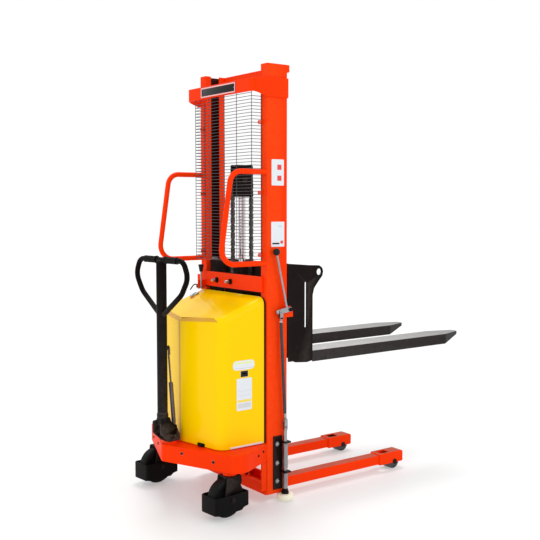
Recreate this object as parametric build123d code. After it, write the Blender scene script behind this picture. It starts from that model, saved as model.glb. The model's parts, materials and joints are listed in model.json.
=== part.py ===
from build123d import *
import os
import math

# Walkie stacker: powered lift, hand pushed, steered by a tiller on two swivel
# casters.  Millimetres, +X towards the fork tips, +Y to the left of the
# operator, +Z up, floor at z = 0.  The body is laid out in a mast frame whose
# X = 0 is the rear face of the mast posts; XC moves it so that the origin is
# under the centre of the whole truck.

os.makedirs("parts", exist_ok=True)

# ---------------------------------------------------------------- dimensions
XC = 463.0            # mast frame to part frame
MAST_H = 2078.0       # top of the mast posts
POST_Z0 = 38.0        # bottom of the mast posts
POST_OUT = 290.0      # outer face of the posts, from the centre plane
POST_IN = 240.0       # inner edge of the posts
POST_D = 116.0        # depth of the posts along X
POST_T = 6.0          # post wall
SLOT_A, SLOT_B = 33.0, 83.0   # slot between the inward lips
MR_R, MR_X = 51.7, 58.0       # mast roller radius and axle line
MR_Z = (780.0, 1100.0)        # mast roller heights at rest
MR_SHAFT, MR_BORE = 14.95, 15.0

FORK_TOP = 710.0      # fork top face at rest
FORK_TIP = 1378.0
FORK_IN, FORK_OUT = 147.0, 290.0
FORK_DEPTH = 55.0

SH_X, SH_Z, SH_PITCH = 57.0, 1545.0, 55.5   # chain sheave
CH_T, CH_W = 7.0, 11.5        # chain half thickness, half width
ROD_R = 17.0
BARREL_R = 28.0

LEG_IN, LEG_OUT = 181.0, 241.0
LEG_Z0, LEG_Z1 = 39.0, 88.0
LR_X, LR_R = 886.0, 40.0      # load roller axle and radius

SW_X, SW_Y = -235.0, 320.0    # caster swivel axis
TRAIL = 27.0                  # caster trail
CW_R, CW_HW = 90.0, 25.0      # caster wheel radius, half width
YAW0 = 5.0                    # steering angle at rest, degrees

TIL_X = -362.0                # steering axis of the tiller
TIL_Z = 331.0                 # tilt pivot height
TUBE_X = -43.0                # tiller tube axis, behind the steering axis
ARM = 50.0                    # steering arm radius
GS_LO = (22.0, 35.0)          # spring lower pivot, from the tilt pivot
GS_UP = (-8.0, 417.0)         # spring upper pivot

LK_X, LK_Y = 90.0, -313.0     # floor lock plunger axis
LK_PIV = (119.0, 926.0)       # lock lever pivot
LK_BOLT = (62.0, 919.0)       # push rod upper pivot
LK_LOW = (90.0, 395.0)        # push rod lower pivot


# ------------------------------------------------------------------- helpers
def bx(x0, x1, y0, y1, z0, z1):
    return Pos((x0 + x1) / 2, (y0 + y1) / 2, (z0 + z1) / 2) * Box(
        abs(x1 - x0), abs(y1 - y0), abs(z1 - z0))


def cz(x, y, r, z0, z1):
    return Pos(x, y, (z0 + z1) / 2) * Cylinder(r, abs(z1 - z0))


def cy(x, z, r, y0, y1):
    return Pos(x, (y0 + y1) / 2, z) * Rot(90, 0, 0) * Cylinder(r, abs(y1 - y0))


def cx(y, z, r, x0, x1):
    return Pos((x0 + x1) / 2, y, z) * Rot(0, 90, 0) * Cylinder(r, abs(x1 - x0))


def poly(pts, v):
    return Solid.extrude(Face(Wire.make_polygon([Vector(*p) for p in pts], close=True)), Vector(*v))


def pxz(pts, y0, y1):
    return Part() + poly([(x, y0, z) for x, z in pts], (0, y1 - y0, 0))


def pxy(pts, z0, z1):
    return Part() + poly([(x, y, z0) for x, y in pts], (0, 0, z1 - z0))


def pyz(pts, x0, x1):
    return Part() + poly([(x0, y, z) for y, z in pts], (x1 - x0, 0, 0))


def rxz(pts, rad, y0, y1):
    """Rounded polygon in XZ, extruded along Y."""
    w = FilletPolyline(*[(x, y0, z) for x, z in pts], radius=rad, close=True)
    return Part() + Solid.extrude(Face(Wire(w.edges())), Vector(0, y1 - y0, 0))


def rxy(pts, rad, z0, z1):
    w = FilletPolyline(*[(x, y, z0) for x, y in pts], radius=rad, close=True)
    return Part() + Solid.extrude(Face(Wire(w.edges())), Vector(0, 0, z1 - z0))


def tube(pts, rad, r):
    """Round bar along straight runs joined by tangent arcs."""
    if len(pts) == 2:
        path = Wire([Edge.make_line(Vector(*pts[0]), Vector(*pts[1]))])
    else:
        path = Wire(FilletPolyline(*pts, radius=rad).edges())
    pl = Plane(origin=path.position_at(0), z_dir=path.tangent_at(0))
    return Part() + sweep(pl * Circle(r), path=path)


def rod(p, q, r):
    return tube([p, q], None, r)


def mir(s):
    return mirror(s, about=Plane.XZ)


def turn(s, x, y, deg):
    """Turn about the vertical line through x, y."""
    return Pos(x, y, 0) * Rot(0, 0, deg) * Pos(-x, -y, 0) * s


def put(name, *shapes):
    sol = []
    for s in shapes:
        sol += list(s.solids())
    c = Compound(children=[Pos(-XC, 0, 0) * s for s in sol])
    c.label = name
    export_step(c, "parts/%s.step" % name)
    return c


# ---------------------------------------------------------------------- mast
def post():
    s = bx(0, POST_D, POST_OUT - POST_T, POST_OUT, POST_Z0, MAST_H)
    s += bx(0, POST_T, POST_IN, POST_OUT - POST_T, POST_Z0, MAST_H)
    s += bx(POST_D - POST_T, POST_D, POST_IN, POST_OUT - POST_T, POST_Z0, MAST_H)
    s += bx(POST_T, SLOT_A, POST_IN, POST_IN + POST_T, POST_Z0, MAST_H)
    s += bx(SLOT_B, POST_D - POST_T, POST_IN, POST_IN + POST_T, POST_Z0, MAST_H)
    return s


put("mast_post_left", post())
# the right post carries the welded tab and pin of the floor lock lever
tab = pxz([(84, 888), (147, 888), (147, 912), (132, 941), (106, 941), (84, 912)], -299, -293)
tab += bx(84, 115, -293, -290, 889, 911)
tab += cy(LK_PIV[0], LK_PIV[1], 6.0, -318, -299)
put("mast_post_right", mir(post()) + tab)

put("mast_front_bar", bx(POST_D, POST_D + 15, -POST_OUT, POST_OUT, 2044, MAST_H))

# rear top beam, bent from flat bar round the back of both posts
beam = rxy([(119, -298), (-83, -298), (-83, 298), (119, 298), (119, 340), (160, 340), (160, -340), (119, -340)],
           [0.0, 40, 40, 0.0, 0.0, 0.0, 0.0, 0.0], 1915, 2018)
beam -= rxy([(170, -290), (-75, -290), (-75, 290), (170, 290)], [0.0, 32, 32, 0.0], 1910, 2020)
beam -= bx(119, 200, -350, 350, 1900, 2030)
beam -= pxz([(-100, 1900), (130, 1900), (130, 1924), (-8, 1924), (-70, 1945), (-100, 1945)], -320, 320)
beam -= pxz([(-100, 2030), (130, 2030), (130, 2014), (0, 2014), (-50, 2005), (-100, 2005)], -320, 320)
put("mast_rear_beam", beam)

# blank plaque and blank stickers, one thin plate each
plates = [bx(-85, -83, -152, 152, 1950, 2000),
          bx(25, 97, -291, -290, 1514, 1636),
          bx(23, 100, -291, -290, 1226, 1344),
          bx(-189, -68, -281, -280, 658, 702),
          bx(-147, -104, -281, -280, 624, 653),
          bx(-169, -83, -281, -280, 467, 618)]
put("blank_plates", *plates)

# wire guard, as a flat envelope: back panel and two side wings
guard = bx(-62, -59, -250, 250, 1151, 1975)
guard += bx(-59, -1, 247, 250, 1151, 1940)
guard += bx(-59, -1, -250, -247, 1151, 1940)
put("guard_mesh", guard)
clips = []
for zc in (1808.0, 1480.0, 1187.0):
    for sgn in (-1, 1):
        clips.append(bx(-26, 0, sgn * 250.3, sgn * 264, zc - 10, zc + 10))
put("guard_clips", *clips)

# D shaped grab handles
hp = [(0, 279, 1577), (-194, 279, 1577), (-259, 279, 1150), (0, 279, 1150)]
gh = tube(hp, [60.0, 70.0], 12.5)
put("grab_handle_left", gh)
put("grab_handle_right", mir(gh))

# control panel across the posts, with the lever bracket and its pin
pan = bx(-15, -9, -262, 262, 1011, 1085)
pan += bx(-15, -9, 262, 306, 1020, 1064)
pan += bx(-9, 0, 241, 262, 1014, 1082) + bx(-9, 0, -262, -241, 1014, 1082)
pan += bx(-58, -15, 230, 236, 994, 1040)
pan += cy(-45, 1002, 4.0, 214, 230)
put("control_panel", pan)

# --------------------------------------------------------------------- cover
CV = 280.0
cv_pts = [(-12, -CV), (-255, -CV), (-308, 0), (-255, CV), (-12, CV)]
cv_out = rxy(cv_pts, [6.0, 55.0, 30.0, 55.0, 6.0], 292, 1010)
ci = 4.0
cv_in_pts = [(-16, -CV + ci), (-252.3, -CV + ci), (-303.9, 0), (-252.3, CV - ci), (-16, CV - ci)]
cv_in = rxy(cv_in_pts, [2.0, 51.0, 26.0, 51.0, 2.0], 280, 1010)
TOPZ, TOPS = 990.0, 0.36


def under(dz):
    """Everything above the sloping top, lowered by dz."""
    return pxz([(-400, TOPZ - TOPS * 388 - dz), (40, TOPZ + TOPS * 52 - dz), (40, 1200), (-400, 1200)], -400, 400)


cv_out -= under(0)
cv_in -= under(4.2)
cover = cv_out - cv_in
cover -= bx(-25, -5, 25, 95, 280, 400)
put("battery_cover", cover)

trim = [bx(-11.7, -3, 268, 280, 293, 988), bx(-11.7, -3, -280, -268, 293, 988),
        bx(-11.7, -3, -267.7, 267.7, 978, 988)]
ang = math.atan2(53, 280)
trim.append(Pos(-308 + 53 * 150 / 280 - 6.8 * math.cos(ang), -150 - 6.8 * math.sin(ang), 300) * Rot(0, 0, math.degrees(ang)) * Box(12, 78, 14))
trim.append(bx(-205, -20, -282, -280.2, 292.5, 301))
put("cover_trim", *trim)

gx = -82.0
gauge = Pos(gx, 226, TOPZ + TOPS * (gx + 12) + 3.6) * Rot(0, -math.degrees(math.atan(TOPS)), 0) * Box(46, 34, 6)
put("battery_gauge", gauge)

# -------------------------------------------------------- chassis box / deck
sk_half = [(0, -292), (-107, -349), (-180, -389), (-222, -390), (-257, -375)]


def skirt_poly(off):
    """Plan outline of the steered end, inset by off."""
    n = len(sk_half)
    line = [(30, -292 - off * 0)] + sk_half + [(-410, 0)]
    line = [(x, y) for x, y in line]
    full = line + [(x, -y) for x, y in reversed(line[:-1])]
    if off == 0:
        return full
    out = []
    m = len(full)
    for i in range(m):
        p0, p1, p2 = full[i - 1], full[i], full[(i + 1) % m]

        def nrm(a, b):
            dx, dy = b[0] - a[0], b[1] - a[1]
            l = math.hypot(dx, dy)
            return (-dy / l, dx / l)
        na, nb = nrm(p0, p1), nrm(p1, p2)
        # outline runs clockwise seen from above, inside is to the right
        na = (-na[0], -na[1])
        nb = (-nb[0], -nb[1])
        k = 1 + na[0] * nb[0] + na[1] * nb[1]
        out.append((p1[0] - 0 + off * (na[0] + nb[0]) / k, p1[1] + off * (na[1] + nb[1]) / k))
    return out


def sk_rad(dr):
    #        front, waist, bend, corner a, corner b, corner c, apex ...
    r = [0.0, 0.0, 40.0, 50.0, 30.0, 20.0, 26.0]
    r = [max(v + dr, 0.0) if v else 0.0 for v in r]
    return r + r[:-1][::-1]


SK_Z0, SK_Z1 = 208.0, 290.0
so = rxy(skirt_poly(0), sk_rad(0), SK_Z0, SK_Z1)
si = rxy(skirt_poly(5.0), sk_rad(-4.0), SK_Z0 - 5, SK_Z1 + 5)
front_cut = bx(0, 100, -500, 500, 100, 400)
skirt = so - si - front_cut
put("chassis_skirt", skirt)

inner = rxy(skirt_poly(5.2), sk_rad(-4.2), SK_Z0, SK_Z1) - front_cut
deck = inner & bx(-450, 0, -420, 420, 283, 289)
botm = inner & (bx(-335, -124, 225, 420, 208, 214) + bx(-335, -124, -420, -225, 208, 214))
deck += botm
for sgn in (-1, 1):
    deck += bx(-130, -124, sgn * 226, sgn * 344, 212, 285)
    deck += cz(SW_X, sgn * SW_Y, 34, 192, 224)
deck += bx(-6, 0, -240, 240, 205, 286)
deck += cz(TIL_X, 0, 24, 256, 285) + cz(TIL_X, 0, 34, 288, 303)
deck += bx(-320, -313, -9, 9, 288, 302.5)
deck -= cz(TIL_X, 0, 14.05, 240, 320)
for sgn in (-1, 1):
    deck -= cz(SW_X, sgn * SW_Y, 16.0, 180, 230)
# openings for the pump hose
deck -= bx(-40, -10, 40, 80, 280, 292)
put("chassis_deck", deck)

# screws and bolts, each a separate solid
scr = []
for t in (120.0, 300.0):
    for sgn in (-1, 1):
        px, py = -410 + 148 / 396.4 * t, sgn * 368 / 396.4 * t
        nx, ny = -368 / 396.4, sgn * 148 / 396.4
        s = Pos(px + nx * 2.2, py + ny * 2.2, 262 if t < 200 else 248) * Rot(0, 0, math.degrees(math.atan2(ny, nx))) * Rot(0, 90, 0) * Cylinder(6.5, 4)
        scr.append(s)
for sgn in (-1, 1):
    for ax, zz in ((-40.0, 262.0), (-85.0, 255.0)):
        ln = math.hypot(57, 107)
        nx, ny = 57 / ln, sgn * 107 / ln
        s = Pos(ax + nx * 2.2, sgn * (292 - ax * 57 / 107.0) + ny * 2.2, zz) * Rot(0, 0, math.degrees(math.atan2(ny, nx))) * Rot(0, 90, 0) * Cylinder(6.0, 4)
        scr.append(s)
for zz in (280.0, 187.0, 99.0):
    scr.append(cy(56, zz, 10.0, -304, -296.2))
for yy in (118.0, -4.0):
    scr.append(cx(yy, 1045, 13.0, -25, -15.2) + cx(yy, 1045, 7.0, -48, -25))
scr.append(bx(-9, 13, -16, 16, 1050, 1075))
put("fixing_screws", *scr)

# mast base: cross channel between the posts, rear plate and cylinder seat
base = bx(0, POST_D, -POST_IN, POST_IN, POST_Z0, 50)
base += bx(104, POST_D, -POST_IN, POST_IN, 50, 92)
base += bx(-8, 0, -286, 286, POST_Z0, 92) + bx(-8, 0, -110, 110, 92, 204)
base += cz(57, 0, 40, 50, 62)
base += bx(-30, -8, -286, -278, 60, 204) + bx(-8, 0, -286, -278, 92, 204)
base += bx(-30, -8, 278, 286, 60, 204) + bx(-8, 0, 278, 286, 92, 204)
put("mast_base", base)


# ---------------------------------------------------------------------- legs
def leg():
    s = bx(POST_D, 779, LEG_IN, LEG_OUT, LEG_Z0, LEG_Z1)
    s -= bx(POST_D - 5, 760, LEG_IN + 5, LEG_OUT - 5, LEG_Z0 + 5, LEG_Z1 - 5)
    b = rxz([(777, 34), (777, 94), (946, 94), (946, 34)], [4.0, 4.0, 12.0, 8.0], 174, 248)
    b -= bx(790, 936, 180.5, 241.5, 20, 88)
    b -= bx(797, 858, 188, 234, 80, 100)
    b -= cy(LR_X, 40, 10.0, 170, 252)
    return s + b


put("leg_left", leg())
put("leg_right", mir(leg()))
ax = cy(LR_X, 40, 9.95, 170, 252) + cy(LR_X, 40, 14, 248.2, 252) + cy(LR_X, 40, 14, 170, 173.8)
put("load_roller_axles", ax, mir(ax))
lr = cy(LR_X, 40, LR_R, 183, 239) - cy(LR_X, 40, 10.03, 180, 242)
put("load_roller_left", lr)
put("load_roller_right", mir(lr))

# ------------------------------------------------------- hydraulics, battery
barrel = cz(57, 0, BARREL_R, 62, 1105)
barrel += bx(41, 73, 26, 66, 76, 112)
put_barrel = barrel - cz(57, 0, 20.0, 70, 1110)
put("cylinder_barrel", put_barrel)
gland = cz(57, 0, 31.0, 1105, 1132) - cz(57, 0, ROD_R + 0.05, 1100, 1140)
put("cylinder_gland", gland)
put("battery", bx(-190, -24, -185, 20, 300, 520) + bx(-170, -140, -140, -110, 520, 532) + bx(-80, -50, -140, -110, 520, 532))
motor = cz(-110, 110, 56, 380, 560) + bx(-165, -55, 52, 168, 300, 380)
put("pump_motor", motor)
put("oil_tank", bx(-215, -22, -215, -195, 300, 305) + bx(-215, -30, -215, 190, 600, 760))
hose = tube([(-55, 60, 340), (57, 60, 340), (57, 60, 112)], [50.0], 7.0)
put("hydraulic_hose", hose)

# --------------------------------------------------------- crosshead, chains
rod_s = cz(57, 0, ROD_R, 380, 1463)
put("piston_rod", rod_s)
yk = None
for sgn in (-1, 1):
    p = rxz([(3, 1463), (110, 1463), (110, 1620), (3, 1620)], [3.0, 3.0, 8.0, 8.0], sgn * 15.2, sgn * 21.2)
    yk = p if yk is None else yk + p
yk += bx(34, 80, -15.2, 15.2, 1463, 1482)
yk -= cy(SH_X, SH_Z, 12.0, -30, 30)
put("crosshead_yoke", yk)
put("sheave_pin", cy(SH_X, SH_Z, 11.97, -26, 26) + cy(SH_X, SH_Z, 17, 21.5, 26) + cy(SH_X, SH_Z, 17, -26, -21.5))
sh = cy(SH_X, SH_Z, SH_PITCH - CH_T, -12.4, 12.4) + cy(SH_X, SH_Z, 58.5, 12.2, 14.6) + cy(SH_X, SH_Z, 58.5, -14.6, -12.2)
sh -= cy(SH_X, SH_Z, 12.03, -20, 20)
for k in range(5):
    a = math.radians(72 * k + 18)
    sh -= cy(SH_X + 31 * math.cos(a), SH_Z + 31 * math.sin(a), 8.0, -20, 20)
put("sheave", sh)
wrap = (cy(SH_X, SH_Z, SH_PITCH + CH_T, -CH_W, CH_W) - cy(SH_X, SH_Z, SH_PITCH - CH_T + 0.3, -20, 20)) & bx(-100, 200, -30, 30, SH_Z, SH_Z + 100)
put("chain_wrap", wrap)
put("chain_rear", bx(SH_X - SH_PITCH - CH_T, SH_X - SH_PITCH + CH_T - 0.3, -CH_W, CH_W, 1075, SH_Z))
put("chain_front", bx(SH_X + SH_PITCH - CH_T + 0.3, SH_X + SH_PITCH + CH_T, -CH_W, CH_W, 1000, SH_Z))

# ------------------------------------------------------------------ carriage
side_pts = [(122, 690), (170, 662), (240, 656), (276, 662), (276, 985), (286, 1020), (338, 1078), (342, 1100),
            (334, 1118), (316, 1128), (268, 1130), (122, 1143)]
side_rad = [0.0, 10.0, 10.0, 6.0, 30.0, 60.0, 12.0, 10.0, 10.0, 10.0, 0.0, 4.0]
sp = rxz(side_pts, side_rad, 278, POST_OUT)
sp -= cy(318, 1096, 17.0, 270, 300)
sp -= rxz([(226, 826), (242, 826), (242, 1052), (226, 1052)], [7.5, 7.5, 7.5, 7.5], 270, 300)
fr = sp + mir(sp)
fr += bx(122, 134, -278, 278, 1065, 1143)
fr += bx(122, 134, -278, 278, 955, 1010)
fr += bx(122, 134, -278, 278, 712, 784)
for sgn in (-1, 1):
    fr += bx(20, 122, sgn * 222, sgn * 234, 740, 784) + bx(20, 122, sgn * 222, sgn * 234, 1065, 1140)
    fr += bx(20, 96, sgn * 222, sgn * 234, 780, 1070)
    fr += bx(122, 134, sgn * 205, sgn * 240, 780, 1070)
fr += bx(104.5, 122, -14, 14, 975, 999.7)
put("carriage_frame", fr)


def fork():
    s = rxy([(276.3, FORK_IN), (1230, FORK_IN), (FORK_TIP, 196), (FORK_TIP, 241), (1230, FORK_OUT), (276.3, FORK_OUT)],
            [0.0, 30.0, 18.0, 18.0, 30.0, 0.0], FORK_TOP - FORK_DEPTH, FORK_TOP)
    s += bx(134.3, 277, FORK_IN, 277.7, FORK_TOP - 45, FORK_TOP)
    cut = rxy([(270, FORK_IN + 6), (1222, FORK_IN + 6), (FORK_TIP - 22, 205), (FORK_TIP - 22, 232), (1222, FORK_OUT - 6), (270, FORK_OUT - 6)],
              [0.0, 25.0, 10.0, 10.0, 25.0, 0.0], FORK_TOP - 80, FORK_TOP - 6)
    s -= cut
    s -= bx(134.2, 290, FORK_IN + 6, 271.7, FORK_TOP - 80, FORK_TOP - 6)
    # nose slopes up from underneath
    s -= pxz([(1225, FORK_TOP - FORK_DEPTH - 0.01), (FORK_TIP + 1, FORK_TOP - 16), (FORK_TIP + 1, FORK_TOP - 90), (1225, FORK_TOP - 90)], 100, 340)
    return s


put("fork_left", fork())
put("fork_right", mir(fork()))

axs = []
for z in MR_Z:
    a = cy(MR_X, z, MR_SHAFT, 234, 281) + cy(MR_X, z, 20.0, 234, 248.5)
    axs += [a, mir(a)]
put("roller_axles", *axs)
for i, z in enumerate(MR_Z):
    nm = "lower" if i == 0 else "upper"
    r = cy(MR_X, z, MR_R, 249, 279) - cy(MR_X, z, MR_BORE, 240, 290)
    put("mast_roller_%s_left" % nm, r)
    put("mast_roller_%s_right" % nm, mir(r))


# ------------------------------------------------------------------- casters
def caster(sgn):
    x, y = SW_X, sgn * SW_Y
    wx = x - TRAIL
    yoke = cz(x, y, 38, 183.5, 191)
    yoke += cz(x, y, 15.95, 191, 229) + cz(x, y, 24, 229, 237)
    yoke += bx(x, x + ARM, y - 9, y + 9, 229, 237) + cz(x + ARM, y, 12, 229, 237) + cz(x + ARM, y, 7.0, 237, 250)
    prof = [(x - 42, 190), (x + 38, 190), (x + 42, 160), (x + 6, 78), (wx, 64), (wx - 24, 74), (wx - 28, 104)]
    for s in (-1, 1):
        a, b = sorted((s * 29, s * 37))
        yoke += rxz(prof, [6.0, 6.0, 30.0, 18.0, 14.0, 12.0, 40.0], y + a, y + b)
    yoke += bx(x - 38, x + 36, y - 30, y + 30, 183.5, 190)
    yoke += cy(wx, CW_R, 9.95, y - 53.8, y + 53.8)
    g = bx(wx - 97, wx + 97, y - 57, y + 57, 33, 113) - bx(wx - 94, wx + 94, y - 54, y + 54, 20, 120)
    # lower rear edge slopes up at the trailing end
    g -= pxz([(wx + 40, 20), (wx + 100, 20), (wx + 100, 52), (wx + 62, 44)], y - 60, y + 60)
    g += cy(wx, CW_R, 12, y - 62, y - 56.9) + cy(wx, CW_R, 12, y + 56.9, y + 62)
    w = cy(wx, CW_R, CW_R, y - CW_HW, y + CW_HW)
    w = chamfer(w.edges().filter_by(GeomType.CIRCLE), 5.0)
    w -= cy(wx, CW_R, 10.03, y - 40, y + 40)
    return [turn(s, x, y, YAW0) for s in (yoke, g, w)]


for sgn, nm in ((1, "left"), (-1, "right")):
    yk_, gd_, wh_ = caster(sgn)
    put("caster_yoke_" + nm, yk_)
    put("caster_guard_" + nm, gd_)
    put("caster_wheel_" + nm, wh_)


# -------------------------------------------------------------------- tiller
def tl(s):
    """From steering frame (axis at 0, 0) to the mast frame, yawed at rest."""
    return Pos(TIL_X, 0, 0) * Rot(0, 0, YAW0) * s


tb = pxy([(-34, -34), (32, -34), (32, 34), (-34, 34)], 304, 312)
for s in (-1, 1):
    a, b = sorted((s * 27, s * 34))
    tb += rxz([(-78, 346), (-32, 304), (31, 304), (33, 330), (16, 368), (-26, 408), (-78, 402)],
              [12.0, 8.0, 8.0, 10.0, 20.0, 16.0, 8.0], a, b)
    a, b = sorted((s * 7.5, s * 12))
    tb += rxz([(15, 310), (32, 310), (31, TIL_Z + 45), (13, TIL_Z + 45)], [0.0, 0.0, 7.0, 7.0], a, b)
tb += cy(0, TIL_Z, 9.0, -40, 40)
tb += cy(GS_LO[0], TIL_Z + GS_LO[1], 5.0, -14, 14)
tb += cz(0, 0, 14.0, 229, 306)
tb += cz(0, 0, 22, 229, 237) + bx(0, ARM, -9, 9, 229, 237) + cz(ARM, 0, 12, 229, 237) + cz(ARM, 0, 7.0, 237, 250)
put("tiller_base", tl(tb))

hd = cz(TUBE_X, 0, 24.5, 382, 1168)
for s in (-1, 1):
    a, b = sorted((s * 14, s * 23))
    lug = rxz([(-66, 392), (-56, 372), (-34, 372), (-17, 328), (-8, TIL_Z - 15), (14, TIL_Z - 8), (15, TIL_Z + 8), (-18, 420), (-60, 420)],
              [5.0, 6.0, 6.0, 8.0, 5.0, 5.0, 7.0, 4.0, 4.0], a, b)
    hd += lug
hd += bx(-60, -30, -14, 14, 384, 410)
hd -= cy(0, TIL_Z, 9.05, -60, 60)
loop = [(-10, 905), (-160, 1012), (-212, 1092), (-176, 1167), (176, 1167), (212, 1092), (160, 1012), (10, 905)]
lt = tube([(TUBE_X, y, z) for y, z in loop], [110.0, 62.0, 46.0, 46.0, 62.0, 110.0], 12.5)
hd += lt
hd += bx(-24, GS_UP[0] + 9, 1.2, 7, TIL_Z + GS_UP[1] - 10, TIL_Z + GS_UP[1] + 10)
put("tiller_handle", tl(hd))
gr = []
for s in (-1, 1):
    a, b = sorted((s * 34, s * 130))
    g_ = cy(TUBE_X, 1167, 16.0, a, b) - cy(TUBE_X, 1167, 12.52, a - 5, b + 5)
    gr.append(g_)
put("tiller_grips", *[tl(g_) for g_ in gr])

# spring strut: case on the tiller base, rod towards the tiller tube
gl = math.hypot(GS_UP[0] - GS_LO[0], GS_UP[1] - GS_LO[1])
ga = math.degrees(math.atan2(GS_LO[0] - GS_UP[0], GS_UP[1] - GS_LO[1]))   # lean to the rear


def strut(s):
    return tl(Pos(GS_LO[0], 0, TIL_Z + GS_LO[1]) * Rot(0, -ga, 0) * s)


case = cz(0, 0, 10.5, 22, 215)
case += cy(0, 0, 9.5, -6.5, 6.5) + bx(-6.5, 6.5, -6.5, 6.5, 0, 26)
case -= cz(0, 0, 4.55, 30, 230)
case -= cy(0, 0, 5.05, -20, 20)
put("spring_case", strut(case))
srod = cz(0, 0, 4.5, 150, gl - 22) + bx(-4.5, 6, -6, 0, gl - 34, gl + 1) + cy(0, gl, 6.0, -6, 0)
put("spring_rod", strut(srod))

# steering link: V shaped flat plate over the three arm pins
ca, sa = math.cos(math.radians(YAW0)), math.sin(math.radians(YAW0))
P0 = (TIL_X + ARM * ca, ARM * sa)
PL = (SW_X + ARM * ca, SW_Y + ARM * sa)
PR = (SW_X + ARM * ca, -SW_Y + ARM * sa)
lk = None
for P in (PL, PR):
    dx, dy = P[0] - P0[0], P[1] - P0[1]
    l = math.hypot(dx, dy)
    nx, ny = -dy / l * 10, dx / l * 10
    s = pxy([(P0[0] + nx, P0[1] + ny), (P[0] + nx, P[1] + ny), (P[0] - nx, P[1] - ny), (P0[0] - nx, P0[1] - ny)], 238, 244)
    s += cz(P[0], P[1], 13, 238, 244)
    lk = s if lk is None else lk + s
lk += cz(P0[0], P0[1], 14, 238, 244)
lk -= cz(P0[0], P0[1], 7.05, 230, 250)
for P in (PL, PR):
    lk -= cz(P[0], P[1], 8.0, 230, 250)
put("steering_link", lk)

# ---------------------------------------------------------------- floor lock
lb = bx(34, 85, -296, -290, 59, 318)
for z0 in (140.0, 285.0):
    lb += bx(76, 112, -331, -296, z0, z0 + 8)
lb -= cz(LK_X, LK_Y, 9.06, 130, 300)
put("lock_bracket", lb)

px_, pz_ = LK_PIV
bx_, bz_ = LK_BOLT
lev = rxz([(36, 911), (60, 908), (124, 917), (126, 936), (100, 938), (60, 931), (36, 926)], [6.0, 4.0, 6.0, 6.0, 6.0, 6.0, 6.0], -316, -310)
lev += cy(px_, pz_, 12.0, -316, -299.4)
lev -= cy(px_, pz_, 6.05, -325, -290)
lev += cy(bx_, bz_, 5.0, -325, -302)
lev += rod((100, LK_Y, 930), (40, LK_Y, 1190), 5.5)
lev += Pos(38, LK_Y, 1203) * Sphere(17)
put("lock_lever", lev)

rl = math.hypot(LK_BOLT[0] - LK_LOW[0], LK_BOLT[1] - LK_LOW[1])
ra = math.degrees(math.atan2(LK_LOW[0] - LK_BOLT[0], LK_BOLT[1] - LK_LOW[1]))


def prod(s):
    """Local z runs from the lower pivot up to the bolt."""
    return Pos(LK_LOW[0], LK_Y, LK_LOW[1]) * Rot(0, -ra, 0) * s


pr = cz(0, 0, 7.5, 30, rl - 52)
pr += bx(-6, 6, -3, 3, 0, 34) + cy(0, 0, 11.0, -3, 3)
pr -= cy(0, 0, 7.0, -10, 10)
pr += cz(0, 0, 5.0, rl - 60, rl - 30) + bx(-10, 10, -8, 8, rl - 36, rl - 26)
for s in (-1, 1):
    a, b = sorted((s * 4.2, s * 8.0))
    pr += bx(-9, 9, a, b, rl - 34, rl) + cy(0, rl, 9.0, a, b)
pr -= cy(0, rl, 5.05, -15, 15)
put("lock_pushrod", prod(pr))

pl = cz(LK_X, LK_Y, 9.0, 40, 356)
pl += cz(LK_X, LK_Y, 13.0, 162, 283)
pl += bx(LK_X - 9, LK_X + 9, LK_Y - 8, LK_Y + 8, 346, 366)
for s in (-1, 1):
    a, b = sorted((s * 4.2, s * 8.0))
    pl += bx(LK_X - 9, LK_X + 9, LK_Y + a, LK_Y + b, 360, 395) + cy(LK_X, 395, 9.0, LK_Y + a, LK_Y + b)
pl += cy(LK_X, 395, 5.0, LK_Y - 11, LK_Y + 11)
pl += cz(LK_X, LK_Y, 13, 36, 50)
pl += cz(LK_X, LK_Y, 41, 10, 36.5)
put("lock_plunger", pl)

# ------------------------------------------------------------ lowering lever
vl = cy(-45, 1002, 8.0, 216, 228) + rod((-45, 222, 1002), (-45, 222, 1084), 4.5)
knob = Pos(-45, 222, 1101) * Cone(8, 15, 38)
vl += knob
vl -= cy(-45, 1002, 4.06, 200, 240)
put("valve_lever", vl)

print("nodes", len([f for f in os.listdir("parts") if f.endswith(".step")]))
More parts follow.
